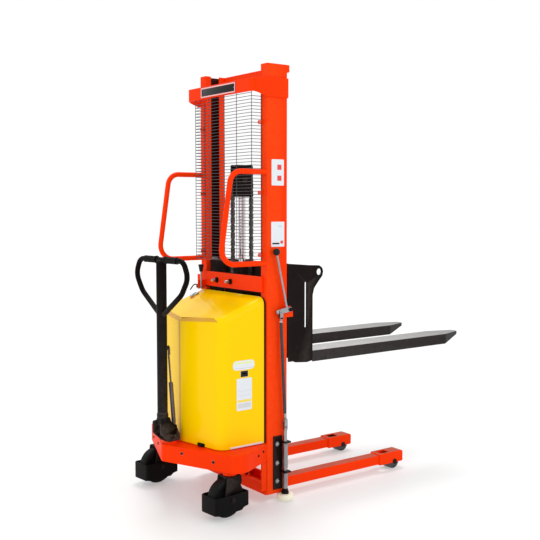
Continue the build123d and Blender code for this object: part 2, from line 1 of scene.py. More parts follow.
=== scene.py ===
import bpy, bmesh, json, math, random
from mathutils import Vector, Matrix
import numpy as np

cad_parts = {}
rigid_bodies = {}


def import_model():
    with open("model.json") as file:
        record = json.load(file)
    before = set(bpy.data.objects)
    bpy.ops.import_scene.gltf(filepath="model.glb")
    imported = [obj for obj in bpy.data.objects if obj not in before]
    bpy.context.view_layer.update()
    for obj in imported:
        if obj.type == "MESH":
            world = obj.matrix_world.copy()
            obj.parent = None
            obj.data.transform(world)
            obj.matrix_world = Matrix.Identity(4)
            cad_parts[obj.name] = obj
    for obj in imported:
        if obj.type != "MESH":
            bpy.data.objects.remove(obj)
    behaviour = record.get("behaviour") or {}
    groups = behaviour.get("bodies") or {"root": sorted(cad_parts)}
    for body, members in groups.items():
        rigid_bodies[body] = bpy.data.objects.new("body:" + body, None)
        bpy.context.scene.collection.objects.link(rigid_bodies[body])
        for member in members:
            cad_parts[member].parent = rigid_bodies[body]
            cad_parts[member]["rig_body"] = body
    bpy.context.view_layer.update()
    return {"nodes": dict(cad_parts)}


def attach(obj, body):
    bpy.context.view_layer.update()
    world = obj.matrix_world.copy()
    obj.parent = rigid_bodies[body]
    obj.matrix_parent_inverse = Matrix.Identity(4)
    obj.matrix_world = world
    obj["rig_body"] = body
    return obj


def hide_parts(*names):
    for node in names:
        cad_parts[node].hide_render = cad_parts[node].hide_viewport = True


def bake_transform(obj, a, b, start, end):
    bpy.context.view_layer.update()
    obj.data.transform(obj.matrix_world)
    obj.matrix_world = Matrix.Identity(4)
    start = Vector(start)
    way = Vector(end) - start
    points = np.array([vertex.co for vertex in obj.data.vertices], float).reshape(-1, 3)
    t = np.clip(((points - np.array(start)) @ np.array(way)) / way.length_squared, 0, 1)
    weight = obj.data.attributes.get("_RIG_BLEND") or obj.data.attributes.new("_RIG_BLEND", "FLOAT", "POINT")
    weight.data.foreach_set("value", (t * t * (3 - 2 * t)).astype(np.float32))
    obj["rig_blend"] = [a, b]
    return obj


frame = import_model()
random.seed(7)

XC = 463.0          # millimetre layout frame: x = 0 at the back of the mast posts


def W(x, y, z):
    return Vector(((x - XC) / 1000.0, y / 1000.0, z / 1000.0))


# ------------------------------------------------------------------ materials
def mat(name, color, rough=0.4, metal=0.0, coat=0.0, coat_rough=0.1, var=0.06, var_scale=6.0, bump=0.02, bump_scale=400.0,
        rough_var=0.06, wear=None, wear_amt=0.0, spec=0.5, dirt=None, dirt_amt=0.0, ior=1.5):
    m = bpy.data.materials.new(name)
    m.use_nodes = True
    nt = m.node_tree
    N, L = nt.nodes, nt.links
    b = N["Principled BSDF"]
    tc = N.new("ShaderNodeTexCoord")
    n1 = N.new("ShaderNodeTexNoise"); n1.inputs["Scale"].default_value = var_scale
    n1.inputs["Detail"].default_value = 6.0
    L.new(tc.outputs["Object"], n1.inputs["Vector"])
    ramp = N.new("ShaderNodeMapRange")
    ramp.inputs["From Min"].default_value = 0.3; ramp.inputs["From Max"].default_value = 0.7
    ramp.inputs["To Min"].default_value = 0.0; ramp.inputs["To Max"].default_value = 1.0
    L.new(n1.outputs["Fac"], ramp.inputs["Value"])
    mix = N.new("ShaderNodeMix"); mix.data_type = "RGBA"
    c = Vector(color)
    mix.inputs["A"].default_value = tuple(min(1, v * (1 - var)) for v in c) + (1,)
    mix.inputs["B"].default_value = tuple(min(1, v * (1 + var)) for v in c) + (1,)
    L.new(ramp.outputs["Result"], mix.inputs["Factor"])
    col = mix.outputs["Result"]
    if dirt is not None:
        nd = N.new("ShaderNodeTexNoise"); nd.inputs["Scale"].default_value = 18.0; nd.inputs["Detail"].default_value = 8.0
        nd.inputs["Roughness"].default_value = 0.65
        L.new(tc.outputs["Object"], nd.inputs["Vector"])
        rd = N.new("ShaderNodeMapRange")
        rd.inputs["From Min"].default_value = 0.56; rd.inputs["From Max"].default_value = 0.78
        rd.inputs["To Min"].default_value = 0.0; rd.inputs["To Max"].default_value = dirt_amt
        L.new(nd.outputs["Fac"], rd.inputs["Value"])
        md = N.new("ShaderNodeMix"); md.data_type = "RGBA"
        L.new(rd.outputs["Result"], md.inputs["Factor"])
        L.new(col, md.inputs["A"]); md.inputs["B"].default_value = tuple(dirt) + (1,)
        col = md.outputs["Result"]
    if wear is not None:
        geo = N.new("ShaderNodeNewGeometry")
        nw = N.new("ShaderNodeTexNoise"); nw.inputs["Scale"].default_value = 60.0; nw.inputs["Detail"].default_value = 6.0
        L.new(tc.outputs["Object"], nw.inputs["Vector"])
        rw = N.new("ShaderNodeMapRange")
        rw.inputs["From Min"].default_value = 0.53; rw.inputs["From Max"].default_value = 0.60
        rw.inputs["To Min"].default_value = 0.0; rw.inputs["To Max"].default_value = 1.0
        L.new(geo.outputs["Pointiness"], rw.inputs["Value"])
        mu = N.new("ShaderNodeMath"); mu.operation = "MULTIPLY"
        L.new(rw.outputs["Result"], mu.inputs[0]); L.new(nw.outputs["Fac"], mu.inputs[1])
        mu2 = N.new("ShaderNodeMath"); mu2.operation = "MULTIPLY"; mu2.inputs[1].default_value = wear_amt
        L.new(mu.outputs[0], mu2.inputs[0])
        mw = N.new("ShaderNodeMix"); mw.data_type = "RGBA"
        L.new(mu2.outputs[0], mw.inputs["Factor"])
        L.new(col, mw.inputs["A"]); mw.inputs["B"].default_value = tuple(wear) + (1,)
        col = mw.outputs["Result"]
    L.new(col, b.inputs["Base Color"])
    # roughness
    n2 = N.new("ShaderNodeTexNoise"); n2.inputs["Scale"].default_value = 35.0; n2.inputs["Detail"].default_value = 5.0
    L.new(tc.outputs["Object"], n2.inputs["Vector"])
    r2 = N.new("ShaderNodeMapRange")
    r2.inputs["To Min"].default_value = max(0.02, rough - rough_var); r2.inputs["To Max"].default_value = min(1.0, rough + rough_var)
    L.new(n2.outputs["Fac"], r2.inputs["Value"])
    L.new(r2.outputs["Result"], b.inputs["Roughness"])
    if bump > 0:
        n3 = N.new("ShaderNodeTexNoise"); n3.inputs["Scale"].default_value = bump_scale; n3.inputs["Detail"].default_value = 3.0
        L.new(tc.outputs["Object"], n3.inputs["Vector"])
        bp = N.new("ShaderNodeBump"); bp.inputs["Strength"].default_value = bump; bp.inputs["Distance"].default_value = 0.002
        L.new(n3.outputs["Fac"], bp.inputs["Height"])
        L.new(bp.outputs["Normal"], b.inputs["Normal"])
    b.inputs["Metallic"].default_value = metal
    b.inputs["Coat Weight"].default_value = coat
    b.inputs["Coat Roughness"].default_value = coat_rough
    b.inputs["Specular IOR Level"].default_value = spec
    b.inputs["IOR"].default_value = ior
    return m


def brushed(name, color, rough, axis_scale, metal=1.0, bump=0.05):
    """Metal with fine stretched grain."""
    m = mat(name, color, rough=rough, metal=metal, var=0.10, var_scale=14.0, bump=0.0, rough_var=0.10)
    nt = m.node_tree; N, L = nt.nodes, nt.links
    b = N["Principled BSDF"]
    tc = N.new("ShaderNodeTexCoord"); mp = N.new("ShaderNodeMapping")
    mp.inputs["Scale"].default_value = axis_scale
    L.new(tc.outputs["Object"], mp.inputs["Vector"])
    n = N.new("ShaderNodeTexNoise"); n.inputs["Scale"].default_value = 30.0; n.inputs["Detail"].default_value = 8.0
    L.new(mp.outputs["Vector"], n.inputs["Vector"])
    bp = N.new("ShaderNodeBump"); bp.inputs["Strength"].default_value = bump; bp.inputs["Distance"].default_value = 0.001
    L.new(n.outputs["Fac"], bp.inputs["Height"]); L.new(bp.outputs["Normal"], b.inputs["Normal"])
    return m


ORANGE = mat("orange_paint", (0.90, 0.036, 0.0), rough=0.42, spec=0.045, coat=0.0, coat_rough=0.2, var=0.035, var_scale=3.0, bump=0.035, bump_scale=650,
             wear=(0.95, 0.13, 0.02), wear_amt=0.35, dirt=(0.66, 0.028, 0.0), dirt_amt=0.10)
# painted shade: duller, darker orange for the leg top faces, which face away from the frontal light, with dirt-noise
# mottling
LEG_TOP_SHADE = mat("orange_top_painted_shade", (0.42, 0.055, 0.022), rough=0.55, spec=0.12, var=0.10, var_scale=9.0, bump=0.05, bump_scale=500, dirt=(0.34, 0.09, 0.05), dirt_amt=0.5)
# painted shade: near-black colour standing in for the shadow inside the post channels
CHANNEL_SHADE = mat("channel_painted_shade", (0.030, 0.006, 0.004), rough=0.45, spec=0.15, var=0.3, var_scale=14.0, bump=0.06, bump_scale=300, dirt=(0.10, 0.008, 0.002), dirt_amt=0.35)
RED = mat("red_shade", (0.75, 0.022, 0.004), rough=0.36, coat=0.3, coat_rough=0.2, var=0.05, var_scale=4.0, bump=0.03, bump_scale=650)
YELLOW = mat("cover_yellow", (0.96, 0.60, 0.0), rough=0.15, spec=0.08, coat=0.0, coat_rough=0.05, var=0.02, var_scale=2.0, bump=0.012, bump_scale=220, rough_var=0.03)
BLACK = mat("black_paint", (0.0075, 0.0040, 0.0036), spec=0.06, rough=0.40, var=0.2, var_scale=8.0, bump=0.05, bump_scale=600,
            wear=(0.10, 0.08, 0.075), wear_amt=0.4, dirt=(0.035, 0.012, 0.010), dirt_amt=0.4)
TILLER = mat("tiller_black", (0.0050, 0.0030, 0.0026), spec=0.035, rough=0.34, var=0.2, var_scale=9.0, bump=0.05, bump_scale=500,
             wear=(0.14, 0.12, 0.11), wear_amt=0.6, dirt=(0.04, 0.026, 0.02), dirt_amt=0.3)
GUARDP = mat("guard_black", (0.0035, 0.0030, 0.0032), spec=0.07, rough=0.45, var=0.2, var_scale=12.0, bump=0.12, bump_scale=900, rough_var=0.08)
RUBBER = mat("rubber_black", (0.006, 0.0055, 0.0055), spec=0.10, rough=0.55, var=0.2, var_scale=20.0, bump=0.12, bump_scale=700, dirt=(0.05, 0.045, 0.04), dirt_amt=0.3)
GRIP = mat("grip_rubber", (0.008, 0.0065, 0.006), rough=0.5, spec=0.12, var=0.2, var_scale=25.0, bump=0.1, bump_scale=900)
SEAL = mat("seal_black", (0.006, 0.006, 0.006), rough=0.6, spec=0.1, var=0.15, bump=0.08, bump_scale=500)
WIRE = mat("guard_wire", (0.035, 0.035, 0.038), rough=0.45, var=0.15, var_scale=20, bump=0.05, bump_scale=800)
STEEL = mat("zinc_steel", (0.34, 0.34, 0.35), rough=0.30, metal=1.0, var=0.12, var_scale=30.0, bump=0.04, bump_scale=700, rough_var=0.1)
CHROME = mat("chrome_rod", (0.62, 0.61, 0.64), rough=0.09, metal=1.0, var=0.04, var_scale=10.0, bump=0.005, bump_scale=400, rough_var=0.04)
CHAIN = mat("chain_steel", (0.085, 0.078, 0.075), rough=0.34, metal=0.85, var=0.3, var_scale=60.0, bump=0.06, bump_scale=600, dirt=(0.02, 0.015, 0.012), dirt_amt=0.6)
STRUT = mat("strut_grey", (0.12, 0.10, 0.115), rough=0.28, metal=0.6, var=0.12, var_scale=20, bump=0.03)
GREYBLUE = mat("pushrod_steel", (0.045, 0.058, 0.066), rough=0.34, metal=0.3, spec=0.2, var=0.15, var_scale=25, bump=0.04)
FORKTOP = brushed("fork_top_worn", (0.40, 0.385, 0.375), 0.34, (0.25, 6.0, 6.0), metal=0.55, bump=0.03)


def fade_along_x(m, x0, x1, dark):
    """Darken a material's colour from x0 to x1 (metres, part frame)."""
    nt = m.node_tree; N, L = nt.nodes, nt.links
    b = N["Principled BSDF"]
    src = b.inputs["Base Color"].links[0].from_socket
    tc = N.new("ShaderNodeTexCoord"); sx = N.new("ShaderNodeSeparateXYZ")
    L.new(tc.outputs["Object"], sx.inputs[0])
    mr = N.new("ShaderNodeMapRange")
    mr.inputs["From Min"].default_value = x0; mr.inputs["From Max"].default_value = x1
    L.new(sx.outputs[0], mr.inputs["Value"])
    mx = N.new("ShaderNodeMix"); mx.data_type = "RGBA"
    L.new(mr.outputs["Result"], mx.inputs["Factor"])
    L.new(src, mx.inputs["A"]); mx.inputs["B"].default_value = tuple(dark) + (1,)
    L.new(mx.outputs["Result"], b.inputs["Base Color"])


fade_along_x(FORKTOP, -0.1, 0.95, (0.13, 0.125, 0.12))
FORK = mat("fork_black", (0.0105, 0.0065, 0.006), spec=0.16, rough=0.42, var=0.2, var_scale=7.0, bump=0.06, bump_scale=500, wear=(0.3, 0.28, 0.27), wear_amt=0.5, dirt=(0.05, 0.035, 0.03), dirt_amt=0.4)
CREAM = mat("pad_cream", (0.88, 0.85, 0.66), rough=0.5, var=0.05, var_scale=30, bump=0.05, bump_scale=300, dirt=(0.55, 0.5, 0.38), dirt_amt=0.3)
NYLON = mat("roller_nylon", (0.045, 0.045, 0.05), rough=0.45, var=0.1, bump=0.04)
WHITE = mat("label_white", (0.72, 0.76, 0.80), rough=0.3, spec=0.2, var=0.015, bump=0.004)
PINK = mat("label_border", (0.90, 0.42, 0.42), rough=0.3, spec=0.2, var=0.02, bump=0.004)
LBLACK = mat("label_black", (0.006, 0.006, 0.006), rough=0.3, spec=0.2, var=0.05, bump=0.004)
LRED = mat("label_red", (0.75, 0.03, 0.03), rough=0.3, var=0.03, bump=0.004, coat=0.3)
LYEL = mat("label_yellow", (0.90, 0.68, 0.05), rough=0.3, var=0.03, bump=0.004)
LGREY = mat("label_grey", (0.62, 0.63, 0.65), rough=0.35, var=0.03, bump=0.004)
TANK = mat("tank_grey", (0.42, 0.36, 0.37), rough=0.4, var=0.08, bump=0.04)
BATT = mat("battery_case", (0.03, 0.035, 0.05), rough=0.5, var=0.1, bump=0.06)


# -------------------------------------------------------------------- helpers
def finish_mesh(name, bm, material, body, replaces=(), sharp=38.0, extra_mats=()):
    me = bpy.data.meshes.new(name)
    bmesh.ops.recalc_face_normals(bm, faces=bm.faces)
    bm.to_mesh(me); bm.free()
    me.polygons.foreach_set("use_smooth", [True] * len(me.polygons))
    me.set_sharp_from_angle(angle=math.radians(sharp))
    o = bpy.data.objects.new(name, me)
    bpy.context.scene.collection.objects.link(o)
    for m in (material,) + tuple(extra_mats):
        me.materials.append(m)
    if body:
        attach(o, body)
    if replaces:
        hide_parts(*replaces)
    return o


def add_box(bm, x0, x1, y0, y1, z0, z1, bev=1.0, seg=2, M=None, mi=0):
    """Box with rounded edges, millimetres in the layout frame."""
    g = bmesh.ops.create_cube(bm, size=1.0)
    vs = g["verts"]
    c = Vector(((x0 + x1) / 2, (y0 + y1) / 2, (z0 + z1) / 2))
    s = Vector((abs(x1 - x0), abs(y1 - y0), abs(z1 - z0)))
    for v in vs:
        v.co = Vector((v.co.x * s.x + c.x, v.co.y * s.y + c.y, v.co.z * s.z + c.z))
    faces = set(f for v in vs for f in v.link_faces)
    for f in faces:
        f.material_index = mi
    if bev > 0:
        es = list(set(e for v in vs for e in v.link_edges))
        r = bmesh.ops.bevel(bm, geom=es, offset=min(bev, 0.45 * min(s)), segments=seg, profile=0.5, affect="EDGES", clamp_overlap=True, material=-1)
        vs = list(set(v for f in r["faces"] for v in f.verts) | set(v for f in faces if f.is_valid for v in f.verts))
    if M is not None:
        bmesh.ops.transform(bm, matrix=M, verts=vs)
    return vs


def round2d(pts, radii, n=6):
    """Closed 2D outline with tangent arcs at the corners."""
    out = []
    m = len(pts)
    if not hasattr(radii, "__len__"):
        radii = [radii] * m
    for i in range(m):
        p0, p1, p2 = Vector(pts[i - 1]), Vector(pts[i]), Vector(pts[(i + 1) % m])
        r = radii[i]
        a = (p0 - p1); b = (p2 - p1)
        la, lb = a.length, b.length
        a.normalize(); b.normalize()
        ang = math.acos(max(-1, min(1, a.dot(b))))
        if r <= 0.01 or ang > math.pi - 0.01:
            out.append(tuple(p1)); continue
        t = r / math.tan(ang / 2)
        t = min(t, 0.49 * la, 0.49 * lb)
        rr = t * math.tan(ang / 2)
        bis = (a + b).normalized()
        c = p1 + bis * (rr / math.sin(ang / 2))
        s = p1 + a * t; e = p1 + b * t
        a0 = math.atan2(s.y - c.y, s.x - c.x); a1 = math.atan2(e.y - c.y, e.x - c.x)
        d = a1 - a0
        while d > math.pi: d -= 2 * math.pi
        while d < -math.pi: d += 2 * math.pi
        k = max(2, int(round(n * abs(d) / (math.pi / 2))))
        for j in range(k + 1):
            t_ = a0 + d * j / k
            out.append((c.x + rr * math.cos(t_), c.y + rr * math.sin(t_)))
    return out


def add_prism(bm, pts, axis, a, b, radii=0.0, bev=1.0, seg=2, n=6, M=None, mi=0):
    """Rounded outline extruded along an axis ('x','y','z'), rim edges rounded."""
    o2 = round2d(pts, radii, n)
    def P(u, v, w):
        if axis == "z": return (u, v, w)
        if axis == "y": return (u, w, v)
        return (w, u, v)
    lo = [bm.verts.new(P(u, v, a)) for u, v in o2]
    hi = [bm.verts.new(P(u, v, b)) for u, v in o2]
    k = len(o2)
    fs = [bm.faces.new(lo), bm.faces.new(hi)]
    for i in range(k):
        fs.append(bm.faces.new((lo[i], lo[(i + 1) % k], hi[(i + 1) % k], hi[i])))
    for f in fs:
        f.material_index = mi
    vs = lo + hi
    if bev > 0:
        rim = [e for f in fs[:2] for e in f.edges]
        r = bmesh.ops.bevel(bm, geom=rim, offset=min(bev, 0.45 * abs(b - a)), segments=seg, profile=0.5, affect="EDGES", clamp_overlap=True, material=-1)
        vs = list(set(v for f in r["faces"] for v in f.verts) | set(v for f in fs if f.is_valid for v in f.verts))
    if M is not None:
        bmesh.ops.transform(bm, matrix=M, verts=vs)
    return vs


def add_lathe(bm, prof, center, axis, n=40, M=None, mi=0, closed=True):
    """Profile of (radius, along) points turned about an axis through center."""
    cx, cy, cz_ = center
    rings = []
    for (r, h) in prof:
        ring = []
        for i in range(n):
            t = 2 * math.pi * i / n
            c, s = r * math.cos(t), r * math.sin(t)
            if axis == "z": p = (cx + c, cy + s, cz_ + h)
            elif axis == "y": p = (cx + c, cy + h, cz_ + s)
            else: p = (cx + h, cy + c, cz_ + s)
            ring.append(bm.verts.new(p))
        rings.append(ring)
    m = len(rings)
    fs = []
    last = m if closed else m - 1
    for j in range(last):
        A, B = rings[j], rings[(j + 1) % m]
        for i in range(n):
            f = bm.faces.new((A[i], A[(i + 1) % n], B[(i + 1) % n], B[i])); f.material_index = mi; fs.append(f)
    if not closed:
        f = bm.faces.new(rings[0]); f.material_index = mi
        f = bm.faces.new(rings[-1]); f.material_index = mi
    vs = [v for r in rings for v in r]
    if M is not None:
        bmesh.ops.transform(bm, matrix=M, verts=vs)
    return vs


def cylp(r, h0, h1, c=1.0):
    """Open-ended profile of a solid cylinder with rounded rims, for closed=False."""
    if h1 < h0: h0, h1 = h1, h0
    c = min(c, 0.45 * (h1 - h0), 0.45 * r)
    q = c * 0.293
    return [(r - c, h0), (r - q, h0 + q), (r, h0 + c), (r, h1 - c), (r - q, h1 - q), (r - c, h1)]


def add_cyl(bm, axis, center, r, h0, h1, c=1.0, n=36, M=None, mi=0):
    """center gives the two other coordinates; h0..h1 along the axis."""
    if axis == "z": ctr = (center[0], center[1], 0)
    elif axis == "y": ctr = (center[0], 0, center[1])
    else: ctr = (0, center[0], center[1])
    return add_lathe(bm, cylp(r, h0, h1, c), ctr, axis, n=n, closed=False, M=M, mi=mi)


def path3d(pts, radii, n=8, closed=False):
    P = [Vector(p) for p in pts]
    m = len(P)
    out = []
    rng = range(m) if closed else range(m)
    k = 0
    for i in rng:
        if not closed and (i == 0 or i == m - 1):
            out.append(P[i].copy()); continue
        r = radii[i] if closed else radii[i - 1]
        p0, p1, p2 = P[i - 1], P[i], P[(i + 1) % m]
        a = (p0 - p1); b = (p2 - p1)
        la, lb = a.length, b.length
        a.normalize(); b.normalize()
        ang = math.acos(max(-1, min(1, a.dot(b))))
        if r <= 0.01 or ang > math.pi - 0.01:
            out.append(p1.copy()); continue
        t = min(r / math.tan(ang / 2), 0.49 * la, 0.49 * lb)
        rr = t * math.tan(ang / 2)
        c = p1 + (a + b).normalized() * (rr / math.sin(ang / 2))
        s = p1 + a * t - c; e = p1 + b * t - c
        tot = math.pi - ang
        kk = max(2, int(round(n * tot / (math.pi / 2))))
        for j in range(kk + 1):
            f = j / kk
            v = (s * math.sin((1 - f) * tot) + e * math.sin(f * tot)) / math.sin(tot)
            out.append(c + v)
    return out


def add_tube(bm, pts, r, n=20, closed=False, cap=True, mi=0):
    P = [Vector(p) for p in pts]
    m = len(P)
    tang = []
    for i in range(m):
        if closed:
            t = (P[(i + 1) % m] - P[i - 1])
        elif i == 0: t = P[1] - P[0]
        elif i == m - 1: t = P[-1] - P[-2]
        else: t = (P[i + 1] - P[i]).normalized() + (P[i] - P[i - 1]).normalized()
        tang.append(t.normalized())
    u = tang[0].orthogonal().normalized()
    rings = []
    for i in range(m):
        if i:
            ax = tang[i - 1].cross(tang[i])
            if ax.length > 1e-9:
                u = Matrix.Rotation(tang[i - 1].angle(tang[i]), 3, ax.normalized()) @ u
            u = (u - tang[i] * u.dot(tang[i])).normalized()
        v = tang[i].cross(u)
        rad = r[i] if hasattr(r, "__len__") else r
        rings.append([bm.verts.new(P[i] + (u * math.cos(2 * math.pi * k / n) + v * math.sin(2 * math.pi * k / n)) * rad) for k in range(n)])
    last = m if closed else m - 1
    for j in range(last):
        A, B = rings[j], rings[(j + 1) % m]
        off = 0
        if closed and j == m - 1:
            off = min(range(n), key=lambda o: (B[o].co - A[0].co).length)
        for i in range(n):
            f = bm.faces.new((A[i], A[(i + 1) % n], B[(i + 1 + off) % n], B[(i + off) % n])); f.material_index = mi
    if cap and not closed:
        for ring in (rings[0], rings[-1]):
            f = bm.faces.new(ring); f.material_index = mi
    return [v for r_ in rings for v in r_]


def to_world(bm):
    bmesh.ops.transform(bm, matrix=Matrix.Translation((-XC / 1000, 0, 0)) @ Matrix.Scale(0.001, 4), verts=bm.verts)


def piece(name, bm, material, body, replaces=(), sharp=38.0, extra=()):
    to_world(bm)
    return finish_mesh(name, bm, material, body, replaces, sharp, extra)


def add_hex(bm, axis, center, h0, h1, af, M=None, mi=0, rot=0.0, bev=0.8):
    """Hexagon head, af across flats."""
    R = af / math.sqrt(3)
    pts = [(center[0] + R * math.cos(math.radians(60 * i + rot)), center[1] + R * math.sin(math.radians(60 * i + rot))) for i in range(6)]
    return add_prism(bm, pts, axis, min(h0, h1), max(h0, h1), bev=bev, M=M, mi=mi)


def bevel_copy(node, name, material, width=1.2, seg=2, angle=32, body=None, extra=(), clean=True):
    """Rounded-edge copy of a CAD node: joined triangles, then a bevel on every sharp edge."""
    src = frame["nodes"][node]
    me = src.data.copy()
    bm = bmesh.new(); bm.from_mesh(me)
    bmesh.ops.remove_doubles(bm, verts=bm.verts, dist=1e-5)
    bmesh.ops.dissolve_limit(bm, angle_limit=math.radians(0.6), verts=bm.verts, edges=bm.edges)
    bmesh.ops.recalc_face_normals(bm, faces=bm.faces)
    bm.to_mesh(me); bm.free()
    o = bpy.data.objects.new(name, me)
    bpy.context.scene.collection.objects.link(o)
    md = o.modifiers.new("bevel", "BEVEL")
    md.width = width / 1000.0; md.segments = seg; md.limit_method = "ANGLE"; md.angle_limit = math.radians(angle)
    md.use_clamp_overlap = True; md.miter_outer = "MITER_ARC"
    dg = bpy.context.evaluated_depsgraph_get()
    me2 = bpy.data.meshes.new_from_object(o.evaluated_get(dg))
    o.modifiers.clear()
    o.data = me2
    for a in list(me2.attributes):
        if a.name == "custom_normal":
            me2.attributes.remove(a)
    me2.polygons.foreach_set("use_smooth", [True] * len(me2.polygons))
    me2.set_sharp_from_angle(angle=math.radians(42))
    wn = o.modifiers.new("wn", "WEIGHTED_NORMAL"); wn.keep_sharp = True; wn.weight = 100; wn.mode = "FACE_AREA"
    dg = bpy.context.evaluated_depsgraph_get()
    me2 = bpy.data.meshes.new_from_object(o.evaluated_get(dg))
    o.modifiers.clear()
    o.data = me2
    me2.materials.clear()
    for m in (material,) + tuple(extra):
        me2.materials.append(m)
    me2.polygons.foreach_set("material_index", [0] * len(me2.polygons))
    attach(o, body or src["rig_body"])
    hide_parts(node)
    return o


def cut(obj, cutters):
    """Boolean difference, applied."""
    for i, c in enumerate(cutters):
        md = obj.modifiers.new("b%d" % i, "BOOLEAN"); md.operation = "DIFFERENCE"; md.object = c; md.solver = "EXACT"
    dg = bpy.context.evaluated_depsgraph_get()
    me = bpy.data.meshes.new_from_object(obj.evaluated_get(dg))
    obj.modifiers.clear(); obj.data = me
    for c in cutters:
        bpy.data.objects.remove(c)
    return obj


# --------------------------------------------------------------------- camera
AZ, EL, FPX = math.radians(-36.46), math.radians(4.23), 885.55
cam_d = bpy.data.cameras.new("camera")
cam = bpy.data.objects.new("camera", cam_d)
bpy.context.scene.collection.objects.link(cam)
cam_d.sensor_width = 36.0
cam_d.lens = FPX / 540.0 * 36.0
cam_d.shift_x = 0.0002
cam_d.shift_y = 0.0017
cam.location = W(-2453.0, -3631.0, 1420.6)
fw = Vector((-math.sin(AZ) * math.cos(EL), math.cos(AZ) * math.cos(EL), -math.sin(EL)))
cam.rotation_euler = fw.to_track_quat("-Z", "Y").to_euler()
bpy.context.scene.camera = cam


TL = Matrix.Translation((-362.0, 0, 0)) @ Matrix.Rotation(math.radians(5.0), 4, "Z")


def pick(obj, test, index):
    """Give the faces that pass test(normal, centre in layout mm) another material index."""
    for p in obj.data.polygons:
        c = p.center
        if test(p.normal, Vector((c.x * 1000 + XC, c.y * 1000, c.z * 1000))):
            p.material_index = index


# ----------------------------------------------------------------------- mast
for nd, nm in (("mast_post_left", "post_left"), ("mast_post_right", "post_right")):
    o_ = bevel_copy(nd, nm, ORANGE, 1.6, 3, extra=(CHANNEL_SHADE,))
    # inner web faces of the channels get the painted-shade colour
    pick(o_, lambda n, c: abs(n.y) > 0.9 and 283.2 < abs(c.y) < 284.8 and n.y * c.y < 0, 1)
bevel_copy("mast_front_bar", "front_bar", ORANGE, 2.0, 3)
bevel_copy("mast_rear_beam", "rear_beam", ORANGE, 1.6, 3)
bevel_copy("control_panel", "control_panel_v", ORANGE, 1.2, 2)
bevel_copy("chassis_skirt", "skirt", ORANGE, 1.6, 3)
bevel_copy("chassis_deck", "deck", ORANGE, 1.2, 2)
bevel_copy("mast_base", "base", ORANGE, 1.6, 2)
for nd, nm in (("leg_left", "leg_l"), ("leg_right", "leg_r")):
    o_ = bevel_copy(nd, nm, ORANGE, 2.4, 3, extra=(LEG_TOP_SHADE,))
    # top faces of the legs get the painted-shade orange
    pick(o_, lambda n, c: n.z > 0.9 and (87 < c.z < 95), 1)

# weld beads where the legs, beam and handles meet the mast
bm = bmesh.new()


def bead(bm, a, b, r=2.2, step=4.0):
    """Weld bead as a row of overlapping flattened ripples."""
    a, b = Vector(a), Vector(b)
    L = (b - a).length
    k = max(2, int(L / step))
    pts = [a.lerp(b, i / k) for i in range(k + 1)]
    add_tube(bm, pts, [r * (1.0 if i % 2 else 0.78) for i in range(k + 1)], n=8)


for s in (-1, 1):
    for (a, b) in (((117, s * 181.5, 88.5), (117, s * 240.5, 88.5)), ((117, s * 241, 40), (117, s * 241, 88)),
                   ((777, s * 181, 88.6), (777, s * 241, 88.6)), ((777, s * 241.5, 40), (777, s * 241.5, 88)),
                   ((777, s * 180.5, 40), (777, s * 180.5, 88)),
                   ((119, s * 290.6, 1925), (119, s * 290.6, 2013)),
                   ((1, s * 291, 1924), (118, s * 291, 1924)),
                   ((116.5, s * 241, 2044.5), (116.5, s * 289, 2044.5))):
        bead(bm, a, b)
piece("weld_beads", bm, ORANGE, "chassis", sharp=60)

# plaque and blank labels
bm = bmesh.new()
add_box(bm, -84.9, -83, -152, 152, 1950, 2000, 0.5, mi=0)
add_box(bm, -85.15, -84.7, -151, 151, 1951, 1999, 0.15, mi=1)
add_box(bm, -85.35, -85.0, -144.5, 144.5, 1957.4, 1992.6, 0.1, mi=0)
for y in (-141, 141):
    add_cyl(bm, "x", (y, 1975), 2.4, -87.0, -85.3, 0.8, 14, mi=2)
piece("plaque", bm, LBLACK, "chassis", ("blank_plates",), 30, (PINK, STEEL))


def label(bm, x0, x1, z0, z1, y, bands, r=4.0):
    """Thin rounded film on a face looking along -Y, with plain colour fields (fractions of its size)."""
    add_prism(bm, [(x0, z0), (x1, z0), (x1, z1), (x0, z1)], "y", y, y + 0.8, radii=r, bev=0.15, seg=1)
    for (u0, u1, v0, v1, mi) in bands:
        add_box(bm, x0 + u0 * (x1 - x0), x0 + u1 * (x1 - x0), y - 0.12, y + 0.3, z0 + v0 * (z1 - z0), z0 + v1 * (z1 - z0), 0.0, mi=mi)


bm = bmesh.new()
label(bm, 25, 97, 1514, 1636, -291.0, [(0.46, 0.80, 0.60, 0.80, 1), (0.46, 0.80, 0.18, 0.38, 1)])
label(bm, 23, 100, 1226, 1344, -291.0, [(0.08, 0.62, 0.10, 0.16, 2), (0.70, 0.90, 0.12, 0.24, 1), (0.55, 0.80, 0.78, 0.86, 3)], 3.0)
label(bm, -189, -68, 658, 702, -281.0, [(0.10, 0.90, 0.62, 0.86, 5), (0.05, 0.95, 0.14, 0.24, 3)], 18.0)
label(bm, -147, -104, 624, 653, -281.0, [(0.02, 0.98, 0.02, 0.98, 2), (0.30, 0.75, 0.42, 0.62, 3)], 1.0)
label(bm, -169, -83, 467, 618, -281.0, [(0.08, 0.92, 0.60, 0.615, 3), (0.08, 0.92, 0.46, 0.475, 3), (0.05, 0.95, 0.26, 0.33, 4), (0.08, 0.92, 0.08, 0.22, 3)], 7.0)
piece("blank_labels", bm, WHITE, "chassis", (), 30, (LRED, LBLACK, LGREY, LYEL, mat("label_green", (0.74, 0.80, 0.42), rough=0.3, spec=0.2, var=0.03, bump=0.004)))

